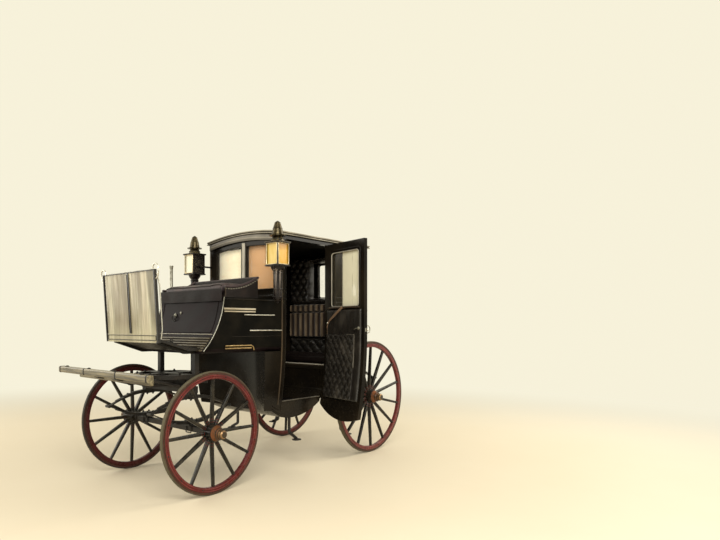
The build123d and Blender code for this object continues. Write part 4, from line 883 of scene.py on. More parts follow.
def buttons(start, spans, diamond, place, rise, keep=lambda u, v: True, size=0.007):
    """A covered button at each crossing of the diamond folds, counted from a first one."""
    centres = []
    for i in range(-20, 21):
        for j in range(-20, 21):
            u, v = start[0] + i * diamond[0] / 2, start[1] + j * diamond[1] / 2
            if (i + j) % 2 == 0 and min(gaps_to(u, v, spans)) > 0.02 and keep(u, v):
                centres.append((u, v))
    made = []
    dome = turned([(size, 0), (size * 0.9, size * 0.4), (size * 0.5, size * 0.7), (0, size * 0.8)], "Z", 10)
    for u, v in centres:
        at_button = Vector(place(u, v, rise))
        made.append(copied(dome, standing(at_button, Vector(place(u, v, rise + 0.01)) - at_button)))
    bpy.data.objects.remove(dome)
    return gather(made)


def swelled(thing, low, high, cap=0.02, pressure=4.0):
    """Blow a closed cushion up as cloth, its points held within a distance of where they start."""
    frames = 20
    apply(thing, "REMESH", mode="VOXEL", voxel_size=0.011)
    start = [vertex.co.copy() for vertex in thing.data.vertices]
    only(thing)
    cloth_modifier = thing.modifiers.new("Cloth", "CLOTH")
    settings = cloth_modifier.settings
    settings.quality = 4
    settings.mass = 0.3
    settings.use_pressure = True
    settings.uniform_pressure_force = pressure
    settings.effector_weights.gravity = 0
    cloth_modifier.point_cache.frame_end = frames
    for step in range(1, frames + 1):
        bpy.context.scene.frame_set(step)
    bpy.ops.object.modifier_apply(modifier=cloth_modifier.name)
    bpy.context.scene.frame_set(1)
    for vertex, home in zip(thing.data.vertices, start):
        move = vertex.co - home
        if move.length > cap:
            vertex.co = home + move.normalized() * cap
        for axis in range(3):
            vertex.co[axis] = max(low[axis], min(high[axis], vertex.co[axis]))
    apply(thing, "SUBSURF", levels=1, render_levels=1)
    return smooth(thing, 80)


def edge_path(thing, lean_y, lean_z, x_low, x_high, count=24):
    """The cushion's edge towards a direction, read off its mesh station by station."""
    path_points = []
    for i in range(count + 1):
        x = x_low + (x_high - x_low) * i / count
        near = [v.co for v in thing.data.vertices if abs(v.co.x - x) < 0.012]
        if near:
            best = max(near, key=lambda co: co.y * lean_y + co.z * lean_z)
            path_points.append((x, best.y + 0.001 * lean_y, best.z + 0.001 * lean_z))
    return path_points


# Rear seat: a stuffed cushion, and a squab in three parts: rolled below, brown and fluted, black and buttoned above
seat = swelled(block((-0.452, 1.664, 0.968), (0.452, 2.036, 1.05), 0.028, 4), (-0.466, 1.651, 0.966),
               (0.466, 2.05, 1.08))
seat_welt = rod(edge_path(seat, -1, 1, -0.43, 0.43), 0.005)
settle(seat, "rear_seat_cushion", seat_black)
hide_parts("rear_cushion")
settle(seat_welt, "rear_seat_welt", seat_black)

SQUAB_BACK, FLUTE_SEAM = 2.162, 1.53
UPPER = ((-0.476, 0.476), (1.625, 2.168))
FLUTED = ((-0.472, 0.472), (1.232, 1.624))
LOW = ((-0.462, 0.462), (0.97, 1.231))
DIAMOND = (0.105, 0.135)


def on_squab(u, v, rise):
    """A point in front of the squab's back, a rise away from it."""
    return (u, SQUAB_BACK - rise, v)


def upper_rise(u, v):
    window = max(abs(u) - 0.162, 1.688 - v, v - 2.102)
    if window < 0:
        return 0.0
    return roll(*gaps_to(u, v, UPPER), window, width=0.035) * (0.074 + 0.03 * tuft(u, v - UPPER[1][0], *DIAMOND))


def lower_rise(u, v):
    seam = 0.35 + 0.65 * clamp01(abs(v - FLUTE_SEAM) / 0.012)
    return roll(*gaps_to(u, v, FLUTED), width=0.02) * seam * (0.07 + 0.032 * flute(u, FLUTE_PITCH))


def roll_rise(u, v):
    return roll(*gaps_to(u, v, LOW), width=0.03) * (0.075 + 0.03 * tuft(u, v - LOW[1][0], 0.13, 0.13))


squab = pad(UPPER, 0.0075, upper_rise, on_squab, (-0.16, 0.16, 1.69, 2.1))
settle(squab, "squab_buttoned", tufted_black)
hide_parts("rear_squab")
# The squab's buttons take the pale grey of painted highlights.
settle(buttons((0, UPPER[1][0]), UPPER, DIAMOND, on_squab, 0.072,
               lambda u, v: max(abs(u) - 0.18, 1.67 - v, v - 2.12) > 0.0), "squab_buttons", painted_glint_grey)
fluted = pad(FLUTED, 0.0062, lower_rise, on_squab)
settle(fluted, "squab_fluted", ridged_brown)
low_squab = pad(LOW, 0.0085, roll_rise, on_squab)
settle(low_squab, "squab_low", tufted_black)
settle(rod([(-0.482, 1.648, 0.958), (0.482, 1.648, 0.958)], 0.006), "seat_rail_bead", pale_trim)
settle(panelled((-0.44, 1.634, 0.64), (0.44, 1.6495, 0.94), (0, -1, 0), 0.035, 0.006), "seat_front_panel", coach_black)

# The heel board closes the space between the footwell's floor and the seat
HEEL_HALF, HEEL_FRONT, HEEL_LOW, HEEL_HIGH = 0.44, 1.5, 0.575, 0.662
HEEL_FOOT, HEEL_RISE, HEEL_THICK = 0.5595, 0.674, 0.038
heel = block((-HEEL_HALF, HEEL_FRONT, HEEL_LOW), (HEEL_HALF, 1.652, HEEL_HIGH), 0)
with shaping(heel):
    bpy.ops.mesh.select_all(action="SELECT")
    bpy.ops.mesh.subdivide(number_cuts=11)
for vertex in heel.data.vertices:
    share = (vertex.co.z - HEEL_LOW) / (HEEL_HIGH - HEEL_LOW)
    vertex.co.z = HEEL_FOOT + HEEL_RISE * (vertex.co.y - HEEL_FRONT) + share * HEEL_THICK
    vertex.co.x *= (side_x(vertex.co.z) - 0.046) / HEEL_HALF
settle(smooth(heel), "heel_board", coach_black)


# Quarter linings, headlining, front lining and carpet
def on_quarter(u, v, rise):
    """A point inside the rear quarter's wall, a rise away from it."""
    return (side_x(v) - WALL - 0.0005 - rise, u, v)


QUARTER = ((1.6, 2.04), (1.1, 2.15))
quarter_pad = pad(QUARTER, 0.01,
                  lambda u, v: roll(*gaps_to(u, v, QUARTER), width=0.02) * (0.006 + 0.012 * tuft(u, v, 0.11, 0.14)),
                  on_quarter)
for side, lining in (("left", quarter_pad), ("right", flipped(quarter_pad))):
    settle(lining, f"{side}_quarter_lining", tufted_black)

FRONT = ((-0.46, 0.46), (0.72, 1.6))
front_pad = pad(FRONT, 0.012, lambda u, v: roll(*gaps_to(u, v, FRONT), width=0.02) * (0.006 + 0.012 * flute(u, 0.06)),
                lambda u, v, rise: (u * (side_x(v) - 0.062) / 0.468, CABIN_FRONT + 0.0365 + rise, v))
settle(front_pad, "front_lining", brown_cloth)

# The headlining and carpet are near-black as painted shade.
HEAD_HALF, HEAD_LOW, HEAD_RISE = 0.474, 2.196, 0.04
headlining = pad(((-HEAD_HALF, HEAD_HALF), (0.945, 2.205)), 0.03, lambda u, v: 0.0,
                 lambda u, v, rise: (u, v, HEAD_LOW + HEAD_RISE * (1 - (u / HEAD_HALF) ** 2) - rise))
settle(headlining, "headlining", shade_dark_cloth)
carpet = pad(((-0.385, 0.385), (0.945, 1.62)), 0.02,
             lambda u, v: 0.001 * math.sin(31 * u + 3) * math.sin(23 * v),
             lambda u, v, rise: (u, v, 0.5905 + rise))
settle(carpet, "carpet", shade_dark_cloth)


# Doors: buttoned lining, window frames, strap, locks, mouldings and handles
def on_leaf(u, v, rise):
    """A point inside the closed left door, a rise away from its inner face."""
    return (side_x(v) - LEAF_THICK - rise, u, v)


LEAF_THICK = 0.0386
LINING = ((1.003, 1.527), (0.657, 1.528))
TUFT_EDGE, TUFT_TOP, WELT_EDGE = 1.092, 1.283, 1.088
DOOR_DIAMOND = (0.078, 0.112)


def lining_rise(u, v):
    """Plain down its free side and across its top, buttoned in diamonds below."""
    edge = roll(*gaps_to(u, v, LINING), width=0.016)
    if u > TUFT_EDGE and v < TUFT_TOP:
        puff = tuft(u - TUFT_EDGE, v - TUFT_TOP, *DOOR_DIAMOND) * roll(u - TUFT_EDGE, TUFT_TOP - v, width=0.012)
        return edge * (0.009 + 0.016 * puff)
    fold = 0.5 + 0.5 * math.sin(u * 62.0 + 1.5 * math.sin(v * 4.0))
    return edge * (0.011 + 0.003 * fold)


lining = pad(LINING, 0.0066, lining_rise, on_leaf)
for side, cover in zip(("left", "right"), on_doors(lining, "upholstery", tufted_black)):
    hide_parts(f"{side}_door_lining")
# The lining's buttons take the pale grey of painted highlights.
on_doors(buttons((TUFT_EDGE, TUFT_TOP), ((TUFT_EDGE, LINING[0][1]), (LINING[1][0], TUFT_TOP)), DOOR_DIAMOND, on_leaf,
                 0.0085, size=0.006), "lining_buttons", painted_glint_grey)


def lining_edge(foot, step, count, u0, u1, rise):
    """Piping up the free side of the buttoned part, from a foot by steps, and along its top."""
    return rods(([on_leaf(WELT_EDGE, foot + step * i, rise) for i in range(count)], 0.0034),
                ([on_leaf(u, TUFT_TOP + 0.002, rise) for u in (u0, u1)], 0.0034))


on_doors(lining_edge(0.97, 0.045, 8, WELT_EDGE, 1.203, 0.0155), "lining_piping", roof_grey)
on_doors(lining_edge(0.664, 0.0385, 9, 1.203, 1.522, 0.013), "lining_welt", seat_black)


def inner_frame(grow, rise, radius):
    low, high, foot, top = WINDOW
    return rod([on_leaf(u, v, rise) for u, v in rounded(low - grow, high + grow, foot - grow, top + grow, 0.026)],
               radius)


on_doors(inner_frame(0.004, 0.001, 0.0045), "glass_frame", pale_trim)
on_doors(inner_frame(0.03, 0.0, 0.0055), "inner_window_bead", coach_black)
outer_frame = rounded(WINDOW[0] - 0.006, WINDOW[1] + 0.006, WINDOW[2] - 0.006, WINDOW[3] + 0.006, 0.03)
on_doors(rod([on_side(u, v) for u, v in outer_frame], 0.006), "outer_window_bead", coach_black)
on_doors(block((0.4675, 1.02, 1.538), (0.4915, 1.475, 1.556), 0.004), "window_sill", dark_wood)

# The strap that lifts the window hangs over the lining's plain top
strap_run = ((1.245, 1.535), (1.3, 1.5), (1.37, 1.455), (1.44, 1.41), (1.475, 1.375), (1.485, 1.33), (1.482, 1.28))
on_doors(ribbon([on_leaf(u, v, 0.03 if u < 1.3 else 0.034) for u, v in strap_run], (0, 0.006, 0.028)),
         "window_strap", strap_tan)
strap_stud = turned([(0.009, 0), (0.009, 0.004), (0.006, 0.009), (0, 0.01)], "-X", 16,
                    on_leaf(1.478, 1.395, 0.034))
on_doors(strap_stud, "strap_stud", nickel)

# Inner handle: a rose with a turned lever, and the lock's plate on the free edge
rose = turned([(0.017, 0), (0.017, 0.003), (0.014, 0.006), (0.009, 0.008), (0.008, 0.02), (0, 0.02)], "-X", 24,
              on_leaf(1.028, 1.345, 0.011))
lever = rod([on_leaf(1.028, 1.345, 0.029), on_leaf(1.038, 1.344, 0.031), on_leaf(1.058, 1.338, 0.031),
             on_leaf(1.07, 1.335, 0.03)], 0.0048, 3)
on_doors(gather([rose, lever]), "inner_handle", dull_nickel)
lock_plate = panelled((0.503, 0.9592, 1.312), (0.521, 0.9612, 1.345), (0, -1, 0), 0.004, 0.001, 0.0004)
on_doors(lock_plate, "lock_plate", dull_nickel)

# Outside: a ring hung on the handle, its escutcheon, and a bow by the free edge
FULL_TURN = [math.pi * i / 10 for i in range(21)]
ring = rod([(0.567 + 0.004 * math.sin(t), 1.128 + 0.017 * math.cos(t), 1.3 + 0.02 * math.sin(t)) for t in FULL_TURN],
           0.003)
escutcheon = turned([(0.03, 0), (0.03, 0.002), (0.026, 0.005), (0.019, 0.006)], "X", 28,
                    (0.5302, 1.015, 1.33))
bow = ((0.531, 1.366), (0.552, 1.37), (0.57, 1.362), (0.578, 1.345), (0.578, 1.322), (0.57, 1.306), (0.552, 1.299),
       (0.531, 1.303))
on_doors(gather([ring, escutcheon, rod([(x, 0.98, z) for x, z in bow], 0.0045, 3)]), "handle_fittings", dull_nickel)


# Outer mouldings of the doors
def along_arc(y):
    """Height of the door's foot at a station."""
    points = arc(*FLOOR_ARC, 40)
    near = min(range(len(points) - 1), key=lambda i: abs((points[i][0] + points[i + 1][0]) / 2 - y))
    (y0, z0), (y1, z1) = points[near], points[near + 1]
    return z0 + (z1 - z0) * (y - y0) / (y1 - y0)


def door_panel(y0, y1, top, rise):
    """A closed line round the lower panel, which follows the door's rounded foot."""
    foot = [(y0 + (y1 - y0) * i / 16, along_arc(y0 + (y1 - y0) * i / 16) + rise) for i in range(17)]
    up = [(y1, foot[-1][1] + (top - foot[-1][1]) * i / 12) for i in range(1, 13)]
    down = [(y0, top + (foot[0][1] - top) * i / 12) for i in range(13)]
    return [on_side(y, z) for y, z in foot + up + down]


on_doors(rods((door_panel(1.0, 1.532, 1.29, 0.075), 0.005), (door_panel(0.985, 1.547, 1.475, 0.055), 0.0035)),
         "panel_mouldings", coach_black)
on_doors(rocker_lines(0.965, 1.565), "foot_beads", coach_black)
on_doors(rod([(0.531, 0.967, 1.51), (0.531, 1.563, 1.51)], 0.007), "belt_moulding", coach_black)

# Hinges: ball ends on the knuckles
hinge_ball = turned([(0.0085, 0), (0.0085, 0.003), (0.005, 0.006), (0.006, 0.009), (0, 0.013)], "Z", 16)
both_sides(gather(spread(hinge_ball, [(HINGE.x, HINGE.y, z + 0.0685) for z in (0.82, 1.36, 2.02)])), "hinge_caps",
           nickel)

# Driver's seat: cushion, its welt and leather fall, arm rolls with nails, and the whip socket
# Cushion, arm rolls and back roll take the lighter purple leather: a painted highlight.
seat = swelled(block((-0.44, 0.24, 1.648), (0.44, 0.606, 1.728), 0.026, 4), (-0.4535, 0.2295, 1.6458),
               (0.4535, 0.6185, 1.7545))
seat_welt = rod(edge_path(seat, -1, 1, -0.415, 0.415), 0.0045)
settle(seat, "driver_seat_cushion", seat_purple_painted_highlight)
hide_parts("driver_cushion")
settle(seat_welt, "driver_seat_welt", seat_black)

FALL_TOP, FALL_TUCK, FALL_WIDE, FALL_LONG = 1.692, 0.012, 0.924, 0.122


def fall_place(u, v, rise):
    """The fall hangs from the cushion's front seam; v counts down from its top."""
    out = 0.004 * math.sin(u * 23.0) * clamp01(v / 0.09)
    if v < FALL_TUCK:
        return (u, 0.236 - v, FALL_TOP + rise)
    return (u, 0.2245 - rise - out * 0.6 - 0.004, FALL_TOP - (v - FALL_TUCK))


fall = pad(((-FALL_WIDE / 2, FALL_WIDE / 2), (0.0, FALL_LONG)), 0.0075, lambda u, v: 0.0, fall_place)
settle(fall, "seat_fall", fall_black)
arm_top = [(0.466, y, z + 0.002) for y, z in arc((0.252, 1.707), (0.49, 1.737), (0.638, 1.805), 16)]
both_sides(rod(arm_top, 0.011, 3), "arm_roll", seat_purple_painted_highlight)
nail = turned([(0.005, 0), (0.0042, 0.0022), (0, 0.0032)], "X", 8)
nail_line = arc((0.26, 1.707), (0.49, 1.737), (0.63, 1.802), 13)
both_sides(gather(spread(nail, [(0.4752, y, z - 0.017) for y, z in nail_line])), "arm_nails", pale_trim)
both_sides(rod([(0.4752, 0.254, 1.62), (0.4752, 0.254, 1.7)], 0.005), "arm_front_bead", bronze_and_painted_reflection)
settle(rod([(-0.462, 0.655, 1.806), (0.462, 0.655, 1.806)], 0.012, 3), "seat_back_roll", seat_purple_painted_highlight)
socket = turned([(0.008, 0), (0.012, 0.004), (0.0105, 0.03), (0.01, 0.15), (0.012, 0.17), (0.0135, 0.176),
                 (0.0135, 0.184), (0.01, 0.184), (0.009, 0.17), (0, 0.165)], "Z", 20)
socket.data.transform(shift((-0.492, 0.37, 1.715)) @ Matrix.Diagonal((1.5, 1.5, 1.36, 1)))
clip_line = ((-0.475, 0.357), (-0.489, 0.357), (-0.499, 0.37), (-0.489, 0.383), (-0.475, 0.383))
clips = [rod([(x, y, z) for x, y in clip_line], 0.003) for z in (1.725, 1.742)]
settle(gather([socket] + clips), "whip_socket", dull_nickel)

# Boot: panel lines, toe bands, a keyhole and a ring handle on its front, and mouldings on its sides


def on_front(x, t, out=0.001):
    """A point on the boot's curved front, t from 0 at its top to 1 at its toe."""
    along = t * (len(BOOT_ARC) - 1)
    i = min(int(along), len(BOOT_ARC) - 2)
    y, z = (BOOT_ARC[i][k] + (BOOT_ARC[i + 1][k] - BOOT_ARC[i][k]) * (along - i) for k in (0, 1))
    return (x, y - out, z)


panel_edge = [on_front(-0.405, 0.06 + 0.56 * i / 14) for i in range(15)]
panel_edge += [on_front(0.405, 0.62 - 0.56 * i / 14) for i in range(15)]
settle(rod(panel_edge + panel_edge[:1], 0.0035), "boot_front_panel_bead", boot_plum)
settle(rod([on_front(-0.44, 0.655), on_front(0.44, 0.655)], 0.0045), "boot_front_line", pale_trim)
# The toe bands' olive-gold colour is a painted reflection.
toe_bands = []
for t in (0.735, 0.785, 0.835, 0.885, 0.935, 0.98):
    x, y, z = on_front(0, t)
    half = boot_x(y) - 0.028
    toe_bands.append(rod([(-half, y, z), (half, y, z)], 0.0085, 3))
settle(gather(toe_bands), "toe_bands", toe_olive_painted_reflection)
keyhole = turned([(0.012, 0), (0.012, 0.002), (0.008, 0.004), (0.004, 0.0045), (0, 0.002)], "-Y", 20,
                 (-0.115, 0.2135, 1.485))
rosette = turned([(0.02, 0), (0.02, 0.003), (0.017, 0.005), (0.015, 0.008), (0.01, 0.01), (0.007, 0.015),
                  (0, 0.016)], "-Y", 28, (-0.19, 0.2055, 1.463))
drop_ring = rod([(-0.19 + 0.03 * math.sin(t), 0.188 - 0.004 * math.cos(t), 1.436 + 0.026 * math.cos(t))
                 for t in FULL_TURN], 0.004)
settle(gather([keyhole, rosette]), "boot_handle", dull_nickel)
settle(drop_ring, "boot_handle_ring", iron_black)
both_sides(gather([on_boot([(0.26, 1.6), (0.885, 1.6)], 0.006), on_boot([(0.32, 1.272), (0.885, 1.272)], 0.004)]),
           "boot_side_mouldings", coach_black)

# Footboard: treads and foot bell; the dash: rails, handles, stays, the leather on its back and lines on its face
treads = [block((-0.36, y - 0.011, 1.1805), (0.36, y + 0.011, 1.1865), 0.002) for y in (-0.02, 0.03, 0.08, 0.13)]
settle(gather(apply(board, "BEVEL", width=0.001, segments=1, limit_method="ANGLE") for board in treads),
       "footboard_treads", iron_black)
bell = turned([(0.004, 0.048), (0.01, 0.046), (0.02, 0.038), (0.026, 0.022), (0.034, 0.004), (0.036, 0),
               (0.033, 0.001), (0.023, 0.02), (0.016, 0.034), (0, 0.042)], "Z", 28, (0.1, -0.055, 1.186))
striker = rod([(0.1, -0.055, 1.23), (0.1, -0.055, 1.246), (0.112, -0.055, 1.252), (0.135, -0.055, 1.246),
               (0.142, -0.055, 1.215), (0.142, -0.055, 1.186)], 0.004)
settle(gather([bell, striker]), "foot_bell", iron_black)

DASH_LEAN, DASH_Y, DASH_FOOT = math.radians(4), -0.36, 1.238


def dash_at(x, up, out=0.0):
    """A point on the dash: up its leaning face from its foot, out in front of its rear plane."""
    return (x, DASH_Y - math.sin(DASH_LEAN) * up - math.cos(DASH_LEAN) * out,
            DASH_FOOT + math.cos(DASH_LEAN) * up - math.sin(DASH_LEAN) * out)


settle(rod([dash_at(-0.398, 0.574, 0.005), dash_at(0.398, 0.574, 0.005)], 0.0075, 3), "dash_top_rail", nickel)
loop_path = ((0.372, 0.57), (0.372, 0.598), (0.385, 0.616), (0.412, 0.621), (0.436, 0.611), (0.446, 0.585),
             (0.444, 0.545), (0.43, 0.515), (0.404, 0.5))
settle(rods(*(([dash_at(side * x, up, 0.005) for x, up in loop_path], 0.006, 3) for side in (1, -1))), "dash_handles",
       nickel)
stay_path = ((0.404, 0.545, -0.006), (0.406, 0.45, -0.026), (0.406, 0.1, -0.026), (0.402, 0.02, -0.012))
both_sides(rod([dash_at(*point) for point in stay_path], 0.0055, 3), "dash_side_stay", nickel)
backs = gather(panelled((x0, -0.351, 1.262), (x1, -0.345, 1.79), (0, 1, 0), 0.02, 0.002)
               for x0, x1 in ((-0.38, -0.012), (0.012, 0.38)))
dash_hinge = Vector((0, DASH_Y, DASH_FOOT))
backs.data.transform(shift(dash_hinge) @ Matrix.Rotation(DASH_LEAN, 4, "X") @ shift(-dash_hinge))
settle(backs, "dash_back_leather", seat_black)
band_frame = [dash_at(x, up, 0.0145) for x, up in rounded(-0.372, 0.372, 0.012, 0.05, 0.01)]
settle(rod(band_frame, 0.003), "dash_band_bead", iron_black)
settle(rods(*(([dash_at(x, 0.07, 0.0145), dash_at(x, 0.555, 0.0145)], 0.0028) for x in (-0.012, 0.012))),
       "dash_middle_lines", iron_black)

# The grey cornice under the roof's front edge, and the back's mouldings
settle(ribbon([(x, 0.8745, z - 0.094) for x, z in roof_arch(0.515, 24)], (0, 0, 0.055), 0.005), "front_cornice",
       roof_grey)


def back_y(z):
    """The back panel bulges: its station at a height."""
    return min(arc((2.205, 0.925), (2.262, 1.55), (2.25, 2.19), 40), key=lambda point: abs(point[1] - z))[0]


def back_loop(half, low, high, radius=0.004):
    loop = rounded(-half, half, low, high, 0.04)
    sides = []
    for (x0, z0), (x1, z1) in zip(loop, loop[1:]):
        count = max(1, round(math.hypot(x1 - x0, z1 - z0) / 0.06))
        sides += [(x0 + (x1 - x0) * i / count, z0 + (z1 - z0) * i / count) for i in range(count)]
    sides.append(loop[-1])
    return rod([(x, back_y(z) + 0.001, z) for x, z in sides], radius)


back_rail = rod([(x, back_y(1.6) + 0.001, 1.6) for x in (-0.51, 0.51)], 0.007)
settle(gather([back_loop(0.44, 1.02, 1.56), back_loop(0.44, 1.645, 2.14), back_rail]), "back_mouldings", coach_black)

# Lamps: beads round the panes, rims, rings on the tube and the crown, vents and the foot's acorn


def lamp_at(z):
    return LAMP_AT + Vector((0, 0, z))


def lamp_bead(points, radius=0.0032):
    return rod([Vector(point) + LAMP_AT for point in points], radius)


POST = 0.0765
pane_edge = rounded(-0.0655, 0.0655, 1.9235, 2.1125, 0.008, 2)
both_sides(gather([lamp_bead([(a, -POST, z) for a, z in pane_edge]), lamp_bead([(POST, a, z) for a, z in pane_edge])]),
           "lamp_beads", pale_brass)
both_sides(gather(lamp_bead([(x, y, z) for x, y in rounded(-half, half, -half, half, 0.006, 2)], 0.0045)
                  for half, z in ((0.0815, 1.913), (0.0865, 2.123))), "lamp_rims", iron_black)
RING = ((0.038, -0.006), (0.043, -0.005), (0.0455, 0), (0.043, 0.005), (0.038, 0.006))
both_sides(gather(turned(RING, "Z", 32, lamp_at(z)) for z in (1.845, 1.7, 1.628)), "lamp_tube_rings", lantern)
acorn = turned([(0, -0.03), (0.006, -0.028), (0.008, -0.022), (0.005, -0.018), (0.012, -0.012), (0.02, -0.004),
                (0.024, 0.002), (0, 0.002)], "Z", 24, lamp_at(1.6))
both_sides(acorn, "lamp_acorn", lantern)
vent = turned([(0.0065, 0), (0.0065, 0.002), (0.004, 0.003), (0.003, 0.001), (0, 0.001)], "Z", 10)
VENTS, VENT_REACH, VENT_HEIGHT = 12, 0.0555, 2.154
vents = []
for angle in (2 * math.pi * index / VENTS for index in range(VENTS)):
    spot = LAMP_AT + Vector((math.cos(angle) * VENT_REACH, math.sin(angle) * VENT_REACH, VENT_HEIGHT))
    vents.append(copied(vent, standing(spot, (math.cos(angle), math.sin(angle), 0.3))))
bpy.data.objects.remove(vent)
both_sides(gather(vents), "lamp_vents", iron_black)
crown_rings = [turned([(r - 0.002, -0.003), (r + 0.0025, 0), (r - 0.002, 0.003)], "Z", 32, lamp_at(z))
               for r, z in ((0.0755, 2.188), (0.053, 2.197), (0.044, 2.25), (0.026, 2.304))]
both_sides(gather(crown_rings), "lamp_crown_rings", lantern)

# Wheels: bands on the naves, cap rings and ends, felloe bolts and tyre flanges
WHEELBASE = 2.18
WHEELS = (("front", 0.62, 0.0, 0.5, 12), ("rear", 0.64, WHEELBASE, 0.6, 14))


def hoop(radius, out, thick):
    """A ring round the wheel's own axis, at a distance out from its middle plane."""
    return turned([(radius - thick, out - thick), (radius + thick, out - thick * 0.7),
                   (radius + thick, out + thick * 0.7), (radius - thick, out + thick)], "X", 48)


def felloe_bolts(radius, spokes):
    bolt = turned([(0.0065, 0), (0.006, 0.003), (0.003, 0.0045), (0, 0.005)], "X", 8)
    reach = radius - 0.043
    between = [2 * math.pi * (i + 0.5) / spokes for i in range(spokes)]
    return gather(spread(bolt, [(0.0188, reach * math.sin(turn), reach * math.cos(turn)) for turn in between]))


for end, track, station, radius, spokes in WHEELS:
    bands = gather([hoop(0.0555, -0.076, 0.0035), hoop(0.0665, -0.036, 0.003), hoop(0.0665, 0.038, 0.003)])
    collars = gather([hoop(0.0475, 0.084, 0.0035), hoop(0.038, 0.102, 0.003), hoop(0.036, 0.124, 0.0022),
                      turned([(0, 0.1415), (0.024, 0.1415), (0.024, 0.1432), (0.016, 0.1438), (0, 0.1438)], "X", 32)])
    flanges = gather([hoop(radius - 0.0215, out, 0.0022) for out in (0.0178, -0.0178)])
    bolts = felloe_bolts(radius, spokes)
    kinds = (("nave_bands", bands, iron_black, "iron"), ("cap_rings", collars, bronze_and_painted_reflection, "brass"),
             ("tyre_flanges", flanges, bronze_and_painted_reflection, "iron"), ("felloe_bolts", bolts, iron_black, "iron"))
    for hand, side in (("left", 1), ("right", -1)):
        for name, source, finish, slot in kinds:
            part = flipped(source) if side < 0 else copied(source, Matrix())
            part.data.transform(shift((side * track, station, radius)))
            settle(part, f"{end}_{hand}_{name}", finish, f"{end}_{hand}_road_wheel")
    for source in (bands, collars, flanges, bolts):
        bpy.data.objects.remove(source)

# Springs: clips, plates, U-bolts and pins
SPRING_RADIUS, SPRING_TALL, EYE_REACH = 0.85, 0.276, 0.4043
UPSIDE_DOWN = Matrix.Rotation(math.pi, 4, "X")


def leaf_clip(x, station, eye_z, y, up):
    """A clip round the leaves of one bow at a distance from its middle."""
    tilt = -up * math.asin(y / SPRING_RADIUS)
    middle = eye_z + up * (math.sqrt(SPRING_RADIUS ** 2 - y * y) - 0.75 + 0.0075)
    clip = block((-0.0265, -0.008, -0.0145), (0.0265, 0.008, 0.0145), 0.002, 1)
    clip.data.transform(shift((x, station + y, middle)) @ Matrix.Rotation(tilt, 4, "X"))
    return clip


def spring_fittings(x, station, base):
    """Plates with nuts on both pads, U-bolts round the axle, clips on the leaves and pins in the eyes."""
    top = base + SPRING_TALL
    eye_z = (base + top) / 2
    made = [leaf_clip(x, station, eye_z, y, up) for y in (-0.2, 0.2) for up in (1, -1)]
    for z in (base + 0.0423, top - 0.0493):
        made.append(block((x - 0.042, station - 0.043, z), (x + 0.042, station + 0.043, z + 0.007), 0.0015, 1))
    u_bolt = ((-0.034, 0.058), (-0.034, -0.05), (-0.028, -0.054), (0.028, -0.054), (0.034, -0.05), (0.034, 0.058))
    made += [rod([(x + dx, station + y, base + dz) for dx, dz in u_bolt], 0.005) for y in (-0.03, 0.03)]
    corners = [(x + dx, station + dy) for dx in (-0.034, 0.034) for dy in (-0.03, 0.03)]
    made += spread(hex_bolt(0.0095, 0.008), [(a, b, base + 0.0493) for a, b in corners])
    made += spread(hex_bolt(0.0095, 0.008), [(a, b, top - 0.0493) for a, b in corners], UPSIDE_DOWN)
    for end in (-1, 1):
        for side in (-1, 1):
            made.append(copied(pin_nut, shift((x + side * 0.028, station + end * EYE_REACH, eye_z))
                               @ Matrix.Rotation(side * math.pi / 2, 4, "Y")))
    return made


pin_nut = hex_bolt(0.011, 0.009)
front_fit, rear_fit = [], []
for side in (1, -1):
    front_fit += spring_fittings(side * 0.33, 0.0, 0.523)
    rear_fit += spring_fittings(side * 0.4, WHEELBASE, 0.623)
bpy.data.objects.remove(pin_nut)
settle(gather(front_fit), "front_spring_fittings", iron_black, "forecarriage")
settle(gather(rear_fit), "rear_spring_fittings", iron_black)

# Turntable nuts, futchell bolts and straps, the splinter bar's clips, trace pins, stays and brace
NUT_RING = 0.278
nut_spots = [(NUT_RING * math.cos(a), NUT_RING * math.sin(a))
             for a in map(math.radians, (-135, -112, -68, -45, -15, 45, 135, 195))]
settle(gather(spread(hex_bolt(0.011, 0.009), [(x, y, 0.9515) for x, y in nut_spots])), "turntable_nuts", iron_black)
settle(gather(spread(hex_bolt(0.011, 0.009), [(x, y, 0.915) for x, y in nut_spots], UPSIDE_DOWN)), "ring_nuts",
       iron_black, "forecarriage")
BOLT_SPOTS = ((-0.25, 0.885), (-0.06, 0.885), (0.06, 0.885), (0.25, 0.885), (-0.44, 0.917), (-0.57, 0.952))
side_bolts = []
for side in (1, -1):
    side_bolts += spread(hex_bolt(0.01, 0.008), [(side * 0.172, y, z) for y, z in BOLT_SPOTS],
                         Matrix.Rotation(side * math.pi / 2, 4, "Y"))
    for y in (-0.29, 0.29):
        side_bolts.append(block((side * 0.15 - 0.0265, y - 0.012, 0.8505), (side * 0.15 + 0.0265, y + 0.012, 0.9145),
                                0.002, 1))
settle(gather(side_bolts), "futchell_fittings", iron_black, "forecarriage")
settle(block((-0.56, -0.556, 0.914), (0.56, -0.514, 0.962), 0.01, 3), "splinter_brace", pale_ash, "forecarriage")
bar_fit = []
for side in (1, -1):
    for x in (0.688, 0.255):
        bar_fit.append(block((side * x - 0.014, -0.674, 0.9545), (side * x + 0.014, -0.6175, 1.0115), 0.01, 3))
    for x in (0.6, 0.205):
        bar_fit.append(turned([(0.018, 0), (0.018, 0.002), (0.013, 0.004), (0.012, 0.007), (0.008, 0.009),
                               (0, 0.009)], "Z", 20, (side * x, -0.646, 1.0098)))
    bar_fit.append(rod([(side * 0.655, -0.612, 0.975), (side * 0.6, -0.5, 0.945), (side * 0.42, -0.18, 0.872),
                        (side * 0.345, -0.038, 0.84)], 0.01, 3))
settle(gather(bar_fit), "splinter_fittings", iron_black, "forecarriage")

